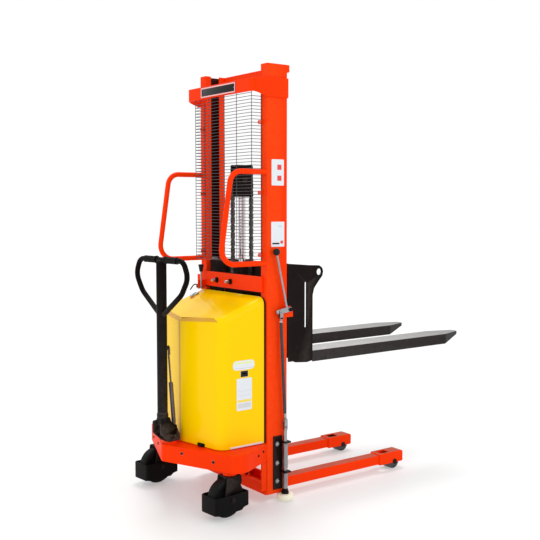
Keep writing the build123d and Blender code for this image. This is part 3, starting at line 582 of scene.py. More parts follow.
# ---------------------------------------------------------------- wire guard
bm = bmesh.new()
z = 1152.5
while z < 1975:
    if z < 1941:
        pts = path3d([(-1.5, -248.4, z), (-60.4, -248.4, z), (-60.4, 248.4, z), (-1.5, 248.4, z)], [9, 9], n=5)
    else:
        pts = [(-60.4, -248.0, z), (-60.4, 248.0, z)]
    add_tube(bm, pts, 1.4, n=8)
    z += 15.2
for y in (-246.0, -122.0, -16.0, 120.0, 246.0):
    add_tube(bm, [(-57.6, y, 1151), (-57.6, y, 1974)], 1.5, n=8)
for s in (-1, 1):
    for x in (-3.4,):
        add_tube(bm, [(x, s * 246.0, 1151), (x, s * 246.0, 1941)], 1.5, n=8)
piece("guard_wires", bm, WIRE, "chassis", ("guard_mesh",), 60)

bm = bmesh.new()
for zc in (1808.0, 1480.0, 1187.0):
    for s in (-1, 1):
        a, b = sorted((s * 250.3, s * 253.6))
        add_prism(bm, [(-26, zc - 9), (-1, zc - 9), (-1, zc + 9), (-26, zc + 9)], "y", a, b, radii=[6, 1, 1, 6], bev=0.6)
        a, b = sorted((s * 253, s * 264))
        add_box(bm, -4.5, 0, a, b, zc - 9, zc + 9, 0.8)
        a, b = sorted((s * 253.6, s * 254.6))
        add_cyl(bm, "y", (-15, zc), 7.0, a, b, 0.3, 20, mi=1)
        a, b = sorted((s * 254.6, s * 259.4))
        add_hex(bm, "y", (-15, zc), a, b, 9.5, mi=1, rot=15)
piece("guard_clips_v", bm, ORANGE, "chassis", ("guard_clips",), 35, (STEEL,))

# --------------------------------------------------------------- grab handles
for s, nm in ((1, "left"), (-1, "right")):
    bm = bmesh.new()
    pts = path3d([(1, s * 279, 1577), (-194, s * 279, 1577), (-259, s * 279, 1150), (1, s * 279, 1150)], [60, 70], n=12)
    add_tube(bm, pts, 12.5, n=28)
    for z in (1577, 1150):
        add_lathe(bm, [(12.4, -5.0), (13.6, -3.6), (15.0, -1.2), (15.6, 0.0), (12.4, 0.0)], (0, s * 279, z), "x", 28)
    piece("grab_handle_%s_v" % nm, bm, ORANGE, "chassis", ("grab_handle_" + nm,), 50)

# -------------------------------------------------------------------- panel bits
bm = bmesh.new()
add_box(bm, -14.4, -9.6, -240, 262, 1006.5, 1011.2, 1.0, mi=0)
piece("panel_edge_strip", bm, SEAL, "chassis", (), 35)

# all the small fixings, one piece, standing for the fixings of the model
bm = bmesh.new()
for t in (120.0, 300.0):
    for s in (-1, 1):
        px, py = -410 + 148 / 396.4 * t, s * 368 / 396.4 * t
        nx, ny = -368 / 396.4, s * 148 / 396.4
        zz = 262 if t < 200 else 248
        M = Matrix.Translation((px, py, zz)) @ Matrix.Rotation(math.atan2(ny, nx), 4, "Z")
        add_lathe(bm, [(6.5, 0.2), (6.5, 1.2), (6.1, 2.4), (4.6, 3.6), (2.4, 4.15), (0.05, 4.2), (0.05, 0.2)], (0, 0, 0), "x", 24, M=M, mi=0)
        add_lathe(bm, [(7.4, 0.05), (7.4, 0.9), (6.4, 1.0), (6.4, 0.05)], (0, 0, 0), "x", 24, M=M, mi=1)
for s in (-1, 1):
    for ax, zz in ((-40.0, 262.0), (-85.0, 255.0)):
        ln = math.hypot(57, 107)
        nx, ny = 57 / ln, s * 107 / ln
        M = Matrix.Translation((ax, s * (292 - ax * 57 / 107.0), zz)) @ Matrix.Rotation(math.atan2(ny, nx), 4, "Z")
        add_lathe(bm, [(6.0, 0.2), (6.0, 1.2), (5.6, 2.4), (4.2, 3.6), (2.2, 4.15), (0.05, 4.2), (0.05, 0.2)], (0, 0, 0), "x", 24, M=M, mi=0)
for zz in (280.0, 187.0, 99.0):
    add_cyl(bm, "y", (56, zz), 11.5, -297.6, -296.1, 0.4, 28, mi=1)
    add_lathe(bm, [(9.6, 0), (9.6, -1.6), (8.2, -3.2), (4.2, -6.0), (2.6, -6.4), (0.05, -6.4), (0.05, 0)], (56, -297.6, zz), "y", 6, mi=1)
for yy in (118.0, -4.0):
    add_cyl(bm, "x", (yy, 1045), 14.5, -17.2, -15.1, 0.6, 30, mi=0)
    add_cyl(bm, "x", (yy, 1045), 12.6, -25, -17.0, 1.6, 30, mi=0)
    add_cyl(bm, "x", (yy, 1045), 9.6, -27.5, -24.9, 0.8, 30, mi=0)
    add_lathe(bm, [(7.0, -27.4), (7.0, -46.0), (6.0, -47.6), (4.2, -48.0), (0.05, -48.0), (0.05, -27.4)], (0, yy, 1045), "x", 28, mi=1)
add_box(bm, -9, 13, -16, 16, 1050, 1075, 2.0, mi=0)
add_cyl(bm, "z", (1.5, 0), 6.0, 1030, 1051, 1.0, 20, mi=1)
add_hex(bm, "z", (1.5, 0), 1040, 1050, 19, mi=1)
piece("fixings", bm, BLACK, "chassis", ("fixing_screws",), 35, (STEEL,))

# ---------------------------------------------------------------------- cover
# painted reflection: darker amber standing in for the dark tiller reflected in the cover's chamfer bands; the key
# switch body uses it as its own colour
YCH = mat("cover_chamfer", (0.66, 0.34, 0.03), rough=0.2, spec=0.2, coat=0.0, coat_rough=0.06, var=0.03, var_scale=2.0, bump=0.01, bump_scale=220, rough_var=0.03)


def offset_lines(pts, d):
    """Move each edge i (pts[i] to pts[i+1]) inward by d[i]; the outline runs counter-clockwise."""
    m = len(pts)
    ln = []
    for i in range(m):
        a, b = Vector(pts[i]), Vector(pts[(i + 1) % m])
        t = (b - a).normalized(); nrm = Vector((-t.y, t.x))
        ln.append((a + nrm * d[i], t))
    out = []
    for i in range(m):
        (p, t), (q, u) = ln[i - 1], ln[i]
        den = t.x * u.y - t.y * u.x
        if abs(den) < 1e-9:
            out.append(tuple(q)); continue
        w = ((q.x - p.x) * u.y - (q.y - p.y) * u.x) / den
        out.append((p.x + t.x * w, p.y + t.y * w))
    return out


def top_z(x):
    return 990.0 + 0.36 * (x + 12.0)


# counter-clockwise seen from above: front edge goes from -Y to +Y
CVP = [(-12, -280), (-12, 280), (-255, 280), (-306.6, 7.2), (-306.6, -7.2), (-255, -280)]
#      edges: front      left side   back left   facet          back right      right side
RS, CH = 36.0, 13.0


def cover_ring(ins_s, ins_b, ins_f, drop_s, drop_b):
    P = offset_lines(CVP, [0.0, ins_s, ins_b, ins_f, ins_b, ins_s])
    rr = max(8.0, 55.0 - 0.8 * ins_s)
    pts = []
    m = len(P)
    for i in range(m):
        p0, p1, p2 = Vector(P[i - 1]), Vector(P[i]), Vector(P[(i + 1) % m])
        if i in (2, 5):
            a = (p0 - p1).normalized(); b = (p2 - p1).normalized()
            ang = math.acos(a.dot(b)); t = rr / math.tan(ang / 2)
            c = p1 + (a + b).normalized() * (rr / math.sin(ang / 2))
            s0 = p1 + a * t - c; s1 = p1 + b * t - c
            tot = math.pi - ang
            K = 14
            for j in range(K + 1):
                f = j / K
                v = c + (s0 * math.sin((1 - f) * tot) + s1 * math.sin(f * tot)) / math.sin(tot)
                w = f if i == 2 else 1 - f
                w = w * w * (3 - 2 * w)
                pts.append((v.x, v.y, drop_s * (1 - w) + drop_b * w))
        else:
            pts.append((p1.x, p1.y, drop_b if i in (3, 4) else drop_s))
    return pts


bm = bmesh.new()
rings = []
K = 12
lo = cover_ring(0, 0, 0, 0, 0)
rings.append([bm.verts.new((x, y, 292.0)) for x, y, d in lo])
mids = cover_ring(0, 0, 0, RS, CH)
for z_ in (300.0, 620.0):
    rings.append([bm.verts.new((x, y, z_)) for x, y, d in mids])
for k in range(K + 1):
    t = math.pi / 2 * k / K
    f = k / K
    ins = RS * (1 - math.cos(t)); dr = RS * (1 - math.sin(t))
    rg = cover_ring(ins, CH * f, CH * f * 0.8, dr, CH * (1 - f))
    rings.append([bm.verts.new((x, y, top_z(x) - d)) for x, y, d in rg])
m = len(rings[0])
for a, b in zip(rings, rings[1:]):
    for i in range(m):
        bm.faces.new((a[i], a[(i + 1) % m], b[(i + 1) % m], b[i]))
bm.faces.new(rings[-1])
bm.faces.new(list(reversed(rings[0])))
bm.faces.ensure_lookup_table()
cov = piece("cover_shell", bm, YELLOW, "chassis", ("battery_cover",), 9.0, (YCH,))
# back apex facet and top chamfer band get the painted-reflection amber
pick(cov, lambda n, c: (abs(n.y) < 0.02 and n.x < -0.97 and c.z < 975), 1)
pick(cov, lambda n, c: (0.30 < n.z < 0.80 and n.x < -0.5 and c.x < -255), 1)

bm = bmesh.new()
# rubber seal between cover and mast, following the rim round its top corners
o_ = round2d([(-280, 293), (280, 293), (280, 989.5), (-280, 989.5)], [0, 0, 36, 36], 10)
i_ = round2d([(-268, 293), (268, 293), (268, 977.5), (-268, 977.5)], [0, 0, 24, 24], 10)
outer = o_[2:] + []
inner_ = i_[2:] + []
# outer/inner start at the foot on +Y and run over the top to -Y
lo_o, lo_i = [(280, 293)] + outer + [(-280, 293)], [(268, 293)] + inner_ + [(-268, 293)]
A = [[bm.verts.new((x, u, v)) for u, v in L_] for x in (-11.7, -3.2) for L_ in (lo_o, lo_i)]
k = len(lo_o)
for i in range(k - 1):
    bm.faces.new((A[0][i], A[0][i + 1], A[1][i + 1], A[1][i]))
    bm.faces.new((A[2][i], A[2][i + 1], A[3][i + 1], A[3][i]))
    bm.faces.new((A[0][i], A[0][i + 1], A[2][i + 1], A[2][i]))
    bm.faces.new((A[1][i], A[1][i + 1], A[3][i + 1], A[3][i]))
for i in (0, k - 1):
    bm.faces.new((A[0][i], A[1][i], A[3][i], A[2][i]))
# catch on the rear face, a tongue with a finger lip
ang = math.atan2(53, 280)
M = Matrix.Translation((-308 + 53 * 150 / 280 - 6.8 * math.cos(ang), -150 - 6.8 * math.sin(ang), 300)) @ Matrix.Rotation(ang, 4, "Z")
add_box(bm, 3.4, 6.2, -22, 22, -7, 7, 0.8, M=M, mi=0)
add_box(bm, -4.5, 4.4, -17, 17, -6.5, -3.0, 0.9, M=M, mi=0)
add_box(bm, -6, -2.4, -17, 17, -6.5, 6.5, 0.9, M=M, mi=0)
add_box(bm, -205, -20, -282, -280.2, 292.5, 301, 0.5, mi=2)
piece("cover_seal_and_catch", bm, SEAL, "chassis", ("cover_trim",), 35, (STEEL, WHITE))

# battery gauge on the sloping top
G = Matrix.Translation((-82, 226, top_z(-82) + 0.4)) @ Matrix.Rotation(-math.atan(0.36), 4, "Y")
bm = bmesh.new()
ell = [(26 * math.cos(2 * math.pi * i / 40), 19 * math.sin(2 * math.pi * i / 40)) for i in range(40)]
add_prism(bm, ell, "z", -2.0, 5.2, bev=1.6, seg=3, M=G, mi=0)
add_prism(bm, [(u * 0.84, v * 0.8) for u, v in ell], "z", 5.0, 6.2, bev=0.5, M=G, mi=1)
add_prism(bm, [(-17, -4.0), (17, -4.0), (17, 4.0), (-17, 4.0)], "z", 6.0, 7.0, radii=3.9, bev=0.4, M=G @ Matrix.Rotation(math.radians(25), 4, "Z"), mi=2)
piece("gauge", bm, STEEL, "chassis", ("battery_gauge",), 35, (WHITE, LBLACK))
bm = bmesh.new()
G2 = Matrix.Translation((-112, 200, top_z(-112) + 0.2)) @ Matrix.Rotation(-math.atan(0.36), 4, "Y")
add_lathe(bm, [(13, 0), (13.5, 1.2), (12.0, 2.2), (9.5, 2.4), (9.0, 0.6), (0.05, 0.6), (0.05, 0)], (0, 0, 0), "z", 30, M=G2, mi=0)
add_cyl(bm, "z", (0, 0), 5.2, 0.5, 4.2, 0.8, 20, M=G2, mi=1)
piece("key_switch", bm, YCH, "chassis", (), 35, (RED,))

# ------------------------------------------------------- lift: barrel, rod, head
bm = bmesh.new()
add_lathe(bm, [(20, 62), (26.6, 62), (28, 63.4), (28, 1103.6), (26.6, 1105), (20, 1105)], (57, 0, 0), "z", 48)
add_lathe(bm, [(27.5, 70), (31, 72), (31, 92), (27.5, 96)], (57, 0, 0), "z", 48)
add_box(bm, 41, 73, 26, 66, 76, 112, 2.5)
piece("barrel", bm, BLACK, "chassis", ("cylinder_barrel",), 35)
bm = bmesh.new()
add_lathe(bm, [(17.2, 1105), (29.5, 1105), (31, 1106.5), (31, 1112), (29.6, 1113), (29.6, 1124), (31, 1125), (31, 1129.5), (28.5, 1132), (19.5, 1132), (18.6, 1130), (17.2, 1130)], (57, 0, 0), "z", 48)
for k in range(4):
    add_cyl(bm, "z", (57 + 30.0 * math.cos(k * math.pi / 2 + 0.6), 30.0 * math.sin(k * math.pi / 2 + 0.6)), 1.9, 1114, 1123, 0.3, 10)
piece("gland", bm, BLACK, "chassis", ("cylinder_gland",), 35)
bm = bmesh.new()
add_lathe(bm, [(0.05, 380), (15.5, 380), (17, 381.5), (17, 1462.9), (0.05, 1462.9)], (57, 0, 0), "z", 48)
piece("rod_chrome", bm, CHROME, "crosshead", ("piston_rod",), 35)
bevel_copy("crosshead_yoke", "head_plates", BLACK, 1.2, 3)
bm = bmesh.new()
add_lathe(bm, [(11.97, -26), (11.97, 26), (0.05, 26), (0.05, -26)], (57, 0, 1545), "y", 32)
for s in (-1, 1):
    add_lathe(bm, [(11.9, s * 21.5), (17, s * 21.5), (17, s * 24.6), (15.6, s * 26), (11.9, s * 26)], (57, 0, 1545), "y", 32)
piece("sheave_axle", bm, BLACK, "crosshead", ("sheave_pin",), 35)
bevel_copy("sheave", "sheave_v", BLACK, 0.8, 2)
for nd, m_, sl in (("battery", BATT, "battery_case"), ("pump_motor", BLACK, "black_paint"), ("oil_tank", TANK, "tank_grey"), ("hydraulic_hose", RUBBER, "hose_rubber")):
    bevel_copy(nd, nd + "_v", m_, 2.0, 2)

# ---------------------------------------------------------------- leaf chains
PITCH = 19.05


def leaf(bm, p, q, outdir, odd):
    """One pitch of leaf chain from joint p to joint q; outdir is the plate-height direction, plates stack along Y."""
    p, q, o = Vector(p), Vector(q), Vector(outdir).normalized()
    t = (q - p).normalized()
    h = 6.3
    ring = []
    n = 5
    for i in range(n + 1):
        a = -math.pi / 2 + math.pi * i / n
        ring.append(q + t * (h * math.cos(a)) * 0.92 + o * (h * math.sin(a)))
    ring.append((p + q) / 2 + o * h * 0.80)
    for i in range(n + 1):
        a = math.pi / 2 + math.pi * i / n
        ring.append(p + t * (h * math.cos(a)) * 0.92 + o * (h * math.sin(a)))
    ring.append((p + q) / 2 - o * h * 0.80)
    ys = (-10.2, -3.4, 3.4, 10.2) if not odd else (-6.8, 0.0, 6.8)
    for y in ys:
        w = 1.25
        A = [bm.verts.new(v + Vector((0, y - w, 0))) for v in ring]
        B = [bm.verts.new(v + Vector((0, y + w, 0))) for v in ring]
        bm.faces.new(A); bm.faces.new(B)
        k = len(ring)
        for i in range(k):
            bm.faces.new((A[i], A[(i + 1) % k], B[(i + 1) % k], B[i]))


def strand(x, z0, z1, odd0=0):
    bm = bmesh.new()
    n = max(1, round((z1 - z0) / PITCH))
    for i in range(n):
        za = z1 - (z1 - z0) * i / n
        zb = z1 - (z1 - z0) * (i + 1) / n
        leaf(bm, (x, 0, za), (x, 0, zb), (1, 0, 0), (i + odd0) % 2)
        add_cyl(bm, "y", (x, za), 3.0, -11.9, 11.9, 0.5, 10)
    add_cyl(bm, "y", (x, z0), 3.0, -11.9, 11.9, 0.5, 10)
    return bm


XR, XF = 57 - 55.5, 57 + 55.5
bm = strand(XR + 0.6, 1075, 1545, 0)
ch = piece("leaf_chain_rear", bm, CHAIN, None, ("chain_rear",), 35)
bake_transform(ch, "chassis", "crosshead", W(XR, 0, 1076), W(XR, 0, 1545))
bm = strand(XF + 0.4, 1000, 1545, 1)
ch = piece("leaf_chain_front", bm, CHAIN, None, ("chain_front",), 35)
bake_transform(ch, "crosshead", "carriage", W(XF, 0, 1545), W(XF, 0, 1001))
bm = bmesh.new()
nw = 9
for i in range(nw):
    a0 = math.pi * i / nw; a1 = math.pi * (i + 1) / nw
    p = (57 - 55.6 * math.cos(a0), 0, 1545 + 55.6 * math.sin(a0)); q = (57 - 55.6 * math.cos(a1), 0, 1545 + 55.6 * math.sin(a1))
    am = (a0 + a1) / 2
    leaf(bm, p, q, (-math.cos(am), 0, math.sin(am)), (i + 1) % 2)
    if i:
        add_cyl(bm, "y", (p[0], p[2]), 3.0, -11.9, 11.9, 0.5, 10)
piece("leaf_chain_wrap", bm, CHAIN, "crosshead", ("chain_wrap",), 35)

# ------------------------------------------------------------------- carriage
bevel_copy("carriage_frame", "carriage_v", BLACK, 1.6, 3)
bm = bmesh.new()
for s in (-1, 1):
    for z0, z1 in ((714, 782), (957, 1008), (1067, 1141)):
        bead(bm, (134.6, s * 277.4, z0), (134.6, s * 277.4, z1), 2.4)
        bead(bm, (121.6, s * 277.4, z0), (121.6, s * 277.4, z1), 2.0)
        bead(bm, (134.8, s * 240.4, z0), (134.8, s * 240.4, z1), 2.0)
    bead(bm, (140, s * 277.4, 710.5), (270, s * 277.4, 710.5), 2.0)
piece("carriage_welds", bm, BLACK, "carriage", (), 60)
for nm in ("left", "right"):
    f = bevel_copy("fork_" + nm, "fork_%s_v" % nm, FORK, 2.2, 3, extra=(FORKTOP,))
    pick(f, lambda n, c: n.z > 0.93 and c.z > 709 and c.x > 278, 1)
bm = bmesh.new()
for z in (780.0, 1100.0):
    for s in (-1, 1):
        add_lathe(bm, [(12.5, s * 234), (20, s * 234), (20, s * 247.6), (19, s * 248.5), (14, s * 248.5), (14, s * 280), (13, s * 281), (0.05, s * 281), (0.05, s * 234)], (58, 0, z), "y", 32)
piece("roller_axles_v", bm, STEEL, "carriage", ("roller_axles",), 35)
for nm, z in (("lower", 780.0), ("upper", 1100.0)):
    for s, sd in ((1, "left"), (-1, "right")):
        bm = bmesh.new()
        a, b = (249, 279) if s > 0 else (-279, -249)
        add_lathe(bm, [(14.6, a + 1), (26, a + 1), (27, a + 2.2), (44, a + 2.2), (45, a), (50.2, a), (51.7, a + 1.5), (51.7, b - 1.5), (50.2, b), (45, b), (44, b - 2.2), (27, b - 2.2), (26, b - 1), (14.6, b - 1)], (58, 0, z), "y", 48)
        piece("mast_roller_%s_%s_v" % (nm, sd), bm, STEEL, "mast_roller_%s_%s" % (nm, sd), ("mast_roller_%s_%s" % (nm, sd),), 35)

# --------------------------------------------------------------- load rollers
bm = bmesh.new()
for s in (-1, 1):
    add_lathe(bm, [(9.9, s * 170), (9.9, s * 252), (0.05, s * 252), (0.05, s * 170)], (886, 0, 40), "y", 28)
    add_lathe(bm, [(9.8, s * 248.2), (14, s * 248.2), (14, s * 250.8), (12.6, s * 252), (6.5, s * 252), (6.0, s * 250.6), (0.05, s * 250.6), (0.05, s * 249.5), (9.8, s * 249.5)], (886, 0, 40), "y", 28)
    add_lathe(bm, [(9.8, s * 170), (12.6, s * 170), (14, s * 171.2), (14, s * 173.8), (9.8, s * 173.8)], (886, 0, 40), "y", 28)
piece("load_roller_axles_v", bm, BLACK, "chassis", ("load_roller_axles",), 35)
for s, sd in ((1, "left"), (-1, "right")):
    a, b = (183, 239) if s > 0 else (-239, -183)
    bm = bmesh.new()
    add_lathe(bm, [(10.3, a + 1), (22, a + 1), (24, a + 4), (33, a + 4), (35, a + 0.6), (37.5, a), (39.4, a + 1.2), (40, a + 3.5), (40, b - 3.5), (39.4, b - 1.2), (37.5, b), (35, b - 0.6), (33, b - 4), (24, b - 4), (22, b - 1), (10.3, b - 1)], (886, 0, 40), "y", 56)
    piece("load_roller_%s_v" % sd, bm, NYLON, "load_roller_" + sd, ("load_roller_" + sd,), 35)

# -------------------------------------------------------------------- casters
for s, sd in ((1, "left"), (-1, "right")):
    x, y = -235.0, s * 320.0
    wx = x - 27.0
    M = Matrix.Translation((x, y, 0)) @ Matrix.Rotation(math.radians(5), 4, "Z") @ Matrix.Translation((-x, -y, 0))
    bevel_copy("caster_yoke_" + sd, "caster_fork_" + sd, BLACK, 1.0, 3)
    bm = bmesh.new()
    add_lathe(bm, [(10.3, -24), (20, -24), (21.5, -21), (58, -19.5), (62, -22), (70, -25), (83, -25), (87.6, -22.5), (90, -18), (90, 18), (87.6, 22.5), (83, 25), (70, 25), (62, 22), (58, 19.5), (21.5, 21), (20, 24), (10.3, 24)], (wx, y, 90), "y", 72, M=M)
    piece("caster_wheel_%s_v" % sd, bm, RUBBER, "caster_wheel_" + sd, ("caster_wheel_" + sd,), 35)
    # moulded foot guard
    bm = bmesh.new()
    add_prism(bm, [(wx - 97, y - 57), (wx + 97, y - 57), (wx + 97, y + 57), (wx - 97, y + 57)], "z", 33, 113, radii=11, bev=3.5, seg=4, n=8)
    to_world(bm)
    g = finish_mesh("caster_guard_%s_v" % sd, bm, GUARDP, None)
    cs = []
    bm = bmesh.new(); add_prism(bm, [(wx - 93.6, y - 53.6), (wx + 93.6, y - 53.6), (wx + 93.6, y + 53.6), (wx - 93.6, y + 53.6)], "z", 10, 125, radii=8, bev=0, n=8); to_world(bm)
    cs.append(finish_mesh("cut_a", bm, GUARDP, None))
    bm = bmesh.new(); add_prism(bm, [(wx + 36, 20), (wx + 110, 20), (wx + 110, 54), (wx + 64, 44)], "y", y - 70, y + 70, bev=0); to_world(bm)
    cs.append(finish_mesh("cut_b", bm, GUARDP, None))
    cut(g, cs)
    MW = Matrix.Translation((-XC / 1000, 0, 0)) @ Matrix.Scale(0.001, 4) @ M @ Matrix.Scale(1000, 4) @ Matrix.Translation((XC / 1000, 0, 0))
    g.data.transform(MW)
    g.data.polygons.foreach_set("use_smooth", [True] * len(g.data.polygons))
    g.data.set_sharp_from_angle(angle=math.radians(35))
    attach(g, "caster_" + sd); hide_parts("caster_guard_" + sd)
    bm = bmesh.new()
    for q in (-1, 1):
        a, b = sorted((q * 56.9, q * 58.6))
        add_cyl(bm, "y", (wx, 90), 15.0, y + a, y + b, 0.5, 32, M=M, mi=0)
        a, b = sorted((q * 58.6, q * 62.0))
        add_hex(bm, "y", (wx, 90), y + a, y + b, 19.0, M=M, mi=0, bev=0.9)
    piece("caster_bolts_" + sd, bm, BLACK, "caster_" + sd, (), 35)
    # bearing race under the swivel head
    bm = bmesh.new()
    add_lathe(bm, [(20, 179), (33, 179), (36, 181), (36, 183.6), (20, 183.6)], (x, y, 0), "z", 40)
    add_lathe(bm, [(16.5, 191.3), (30, 191.3), (31.5, 192.2), (31.5, 196), (16.5, 196)], (x, y, 0), "z", 40)
    piece("caster_race_" + sd, bm, STEEL, "caster_" + sd, (), 35)

# --------------------------------------------------------------------- tiller
bevel_copy("tiller_base", "tiller_base_v", TILLER, 1.0, 3)
bm = bmesh.new()
add_lathe(bm, [(0.05, 382), (22.5, 382), (24.5, 384), (24.5, 1152), (24.0, 1159), (21.5, 1165), (16, 1168), (0.05, 1168)], (-43, 0, 0), "z", 48, M=TL)
for s in (-1, 1):
    a, b = sorted((s * 14, s * 23))
    add_prism(bm, [(-66, 392), (-56, 372), (-34, 372), (-17, 328), (-8, 316), (14, 323), (15, 339), (-18, 420), (-60, 420)], "y", a, b, radii=[5, 6, 6, 8, 6, 6, 8, 4, 4], bev=1.6, seg=3, M=TL)
    # tapered cast shoulder where the tube meets its lugs
    add_lathe(bm, [(24.3, 420), (27.5, 424), (27.5, 436), (24.3, 446)], (-43, 0, 0), "z", 48, M=TL) if s > 0 else None
add_box(bm, -60, -30, -14, 14, 384, 410, 2.0, M=TL)
lp = path3d([(-43, -8, 903.6), (-43, -160, 1012), (-43, -212, 1092), (-43, -176, 1167), (-43, 176, 1167), (-43, 212, 1092), (-43, 160, 1012), (-43, 8, 903.6)], [110, 62, 46, 46, 62, 110], n=20)
vs = add_tube(bm, lp, 12.5, n=28)
bmesh.ops.transform(bm, matrix=TL, verts=vs)
add_box(bm, -24, -8 + 9, 1.4, 7, 738, 758, 1.2, M=TL)
add_cyl(bm, "y", (-8, 748), 5.2, -6.8, 9.6, 0.6, 20, M=TL)
piece("tiller_v", bm, TILLER, "tiller", ("tiller_handle",), 35)
bm = bmesh.new()
for s in (-1, 1):
    prof = [(12.6, 34), (17.5, 34), (18.4, 35.2), (18.4, 38.4), (17.2, 39.4)]
    y = 40.0
    while y < 122:
        prof += [(14.4, y), (14.4, y + 1.6), (16.0, y + 2.2), (16.0, y + 4.6), (15.2, y + 5.2)]
        y += 5.6
    prof += [(16.2, 126), (16.6, 128.5), (15.4, 130), (12.6, 130)]
    prof = [(r, s * h) for r, h in prof]
    add_lathe(bm, prof, (-43, 0, 1167), "y", 32, M=TL)
piece("tiller_grips_v", bm, GRIP, "tiller", ("tiller_grips",), 30)
for nd, m_, sl in (("spring_case", STRUT, "tiller_black"), ("spring_rod", STRUT, "chrome_rod"), ("steering_link", BLACK, "black_paint")):
    bevel_copy(nd, nd + "_v", m_, 0.8, 2)

# ----------------------------------------------------------------- floor lock
bevel_copy("lock_bracket", "lock_bracket_v", BLACK, 0.9, 2)
bm = bmesh.new()
LX, LY = 90.0, -313.0
add_prism(bm, [(36, 911), (60, 908), (124, 917), (126, 936), (100, 938), (60, 931), (36, 926)], "y", -316, -310, radii=[6, 4, 6, 6, 6, 6, 6], bev=1.2, seg=3, mi=0)
add_lathe(bm, [(6.2, -316.2), (11, -316.2), (12, -315.2), (12, -300.4), (11, -299.4), (6.2, -299.4)], (119, 0, 926), "y", 30, mi=0)
add_lathe(bm, [(5, -302), (5, -323), (4.2, -325), (0.05, -325), (0.05, -302)], (62, 0, 919), "y", 24, mi=0)
vs = add_tube(bm, [(100, LY, 930), (96, LY, 947.3), (42, LY, 1181.3), (40, LY, 1190)], 5.5, n=20, mi=0)
add_lathe(bm, [(0.05, 1186.2), (6, 1186.2), (9.6, 1187.6), (9.6, 1190.5), (13.4, 1192.4), (16.2, 1197.6), (17, 1203), (15.9, 1209.2), (12.4, 1214.6), (8.5, 1217.4), (4.5, 1219.2), (0.05, 1220)], (38, LY, 0), "z", 32, mi=1)
piece("lock_lever_v", bm, STEEL, "lock_lever", ("lock_lever",), 35, (LBLACK,))
bm = bmesh.new()
add_cyl(bm, "y", (119, 926), 9.5, -320.5, -316.4, 1.2, 24, mi=0)
add_prism(bm, [(84, 890), (140, 890), (147, 897), (147, 908), (134, 915), (84, 913)], "y", -298.6, -293.2, radii=[1, 4, 4, 4, 6, 1], bev=1.2, seg=2, mi=1)
piece("lock_pivot_cap", bm, BLACK, "chassis", (), 35, (ORANGE,))
rl = math.hypot(62 - 90, 919 - 395)
ra = math.atan2(90 - 62, 919 - 395)
PM = Matrix.Translation((90, LY, 395)) @ Matrix.Rotation(-ra, 4, "Y")
bm = bmesh.new()
add_lathe(bm, [(0.05, 33), (6.6, 33), (7.5, 34), (7.5, rl - 53.2), (6.6, rl - 52), (0.05, rl - 52)], (0, 0, 0), "z", 28, M=PM, mi=0)
add_prism(bm, [(-6, 3), (6, 3), (6, 36), (-6, 36)], "y", -3, 3, radii=2, bev=0.8, M=PM, mi=1)
add_lathe(bm, [(7.1, -3), (10.2, -3), (11, -2.2), (11, 2.2), (10.2, 3), (7.1, 3)], (0, 0, 0), "y", 30, M=PM, mi=1)
add_cyl(bm, "z", (0, 0), 5.0, rl - 60, rl - 30, 0.6, 20, M=PM, mi=1)
add_hex(bm, "z", (0, 0), rl - 52, rl - 44, 15, M=PM, mi=1)
add_box(bm, -10, 10, -8, 8, rl - 36, rl - 26, 1.6, M=PM, mi=1)
for s in (-1, 1):
    a, b = sorted((s * 4.2, s * 8.0))
    add_prism(bm, [(-9, rl - 34), (9, rl - 34), (9, rl + 9), (-9, rl + 9)], "y", a, b, radii=[1, 1, 8.8, 8.8], bev=0.8, M=PM, mi=1)
piece("lock_pushrod_v", bm, GREYBLUE, "lock_pushrod", ("lock_pushrod",), 35, (STEEL,))
bm = bmesh.new()
add_cyl(bm, "z", (LX, LY), 9.0, 40, 356, 1.0, 32, mi=0)
prof = [(9.0, 162), (12.2, 162), (13, 163)]
z = 164.0
while z < 280:
    prof += [(13.0, z), (13.0, z + 1.5), (12.2, z + 2.0), (12.2, z + 2.7)]
    z += 3.2
prof += [(13, 281.5), (12.4, 283), (9.0, 283)]
add_lathe(bm, prof, (LX, LY, 0), "z", 32, mi=0)
prof = [(9.0, 62), (11.6, 62), (12.4, 63)]
z = 64.0
while z < 134:
    prof += [(12.4, z), (12.4, z + 1.5), (11.6, z + 2.0), (11.6, z + 2.7)]
    z += 3.2
prof += [(12.4, 136), (11.6, 137.4), (9.0, 137.4)]
add_lathe(bm, prof, (LX, LY, 0), "z", 32, mi=0)
add_lathe(bm, [(9.0, 36), (17, 36), (18, 37), (18, 46), (15, 50), (13.5, 60), (12.5, 62), (9.0, 62)], (LX, LY, 0), "z", 36, mi=1)
add_box(bm, LX - 9, LX + 9, LY - 8, LY + 8, 346, 366, 1.8, mi=0)
for s in (-1, 1):
    a, b = sorted((LY + s * 4.2, LY + s * 8.0))
    add_prism(bm, [(LX - 9, 360), (LX + 9, 360), (LX + 9, 404), (LX - 9, 404)], "y", a, b, radii=[1, 1, 8.8, 8.8], bev=0.8, mi=0)
add_lathe(bm, [(4.9, LY - 10.4), (4.9, LY + 10.4), (0.05, LY + 11), (0.05, LY - 11)], (LX, 0, 395), "y", 20, mi=0)
add_lathe(bm, [(0.05, 10), (37, 10), (40, 12.5), (41, 16), (41, 31), (40, 34.5), (37, 36.5), (0.05, 36.5)], (LX, LY, 0), "z", 56, mi=2)
piece("lock_plunger_v", bm, STEEL, "lock_plunger", ("lock_plunger",), 35, (BLACK, CREAM))

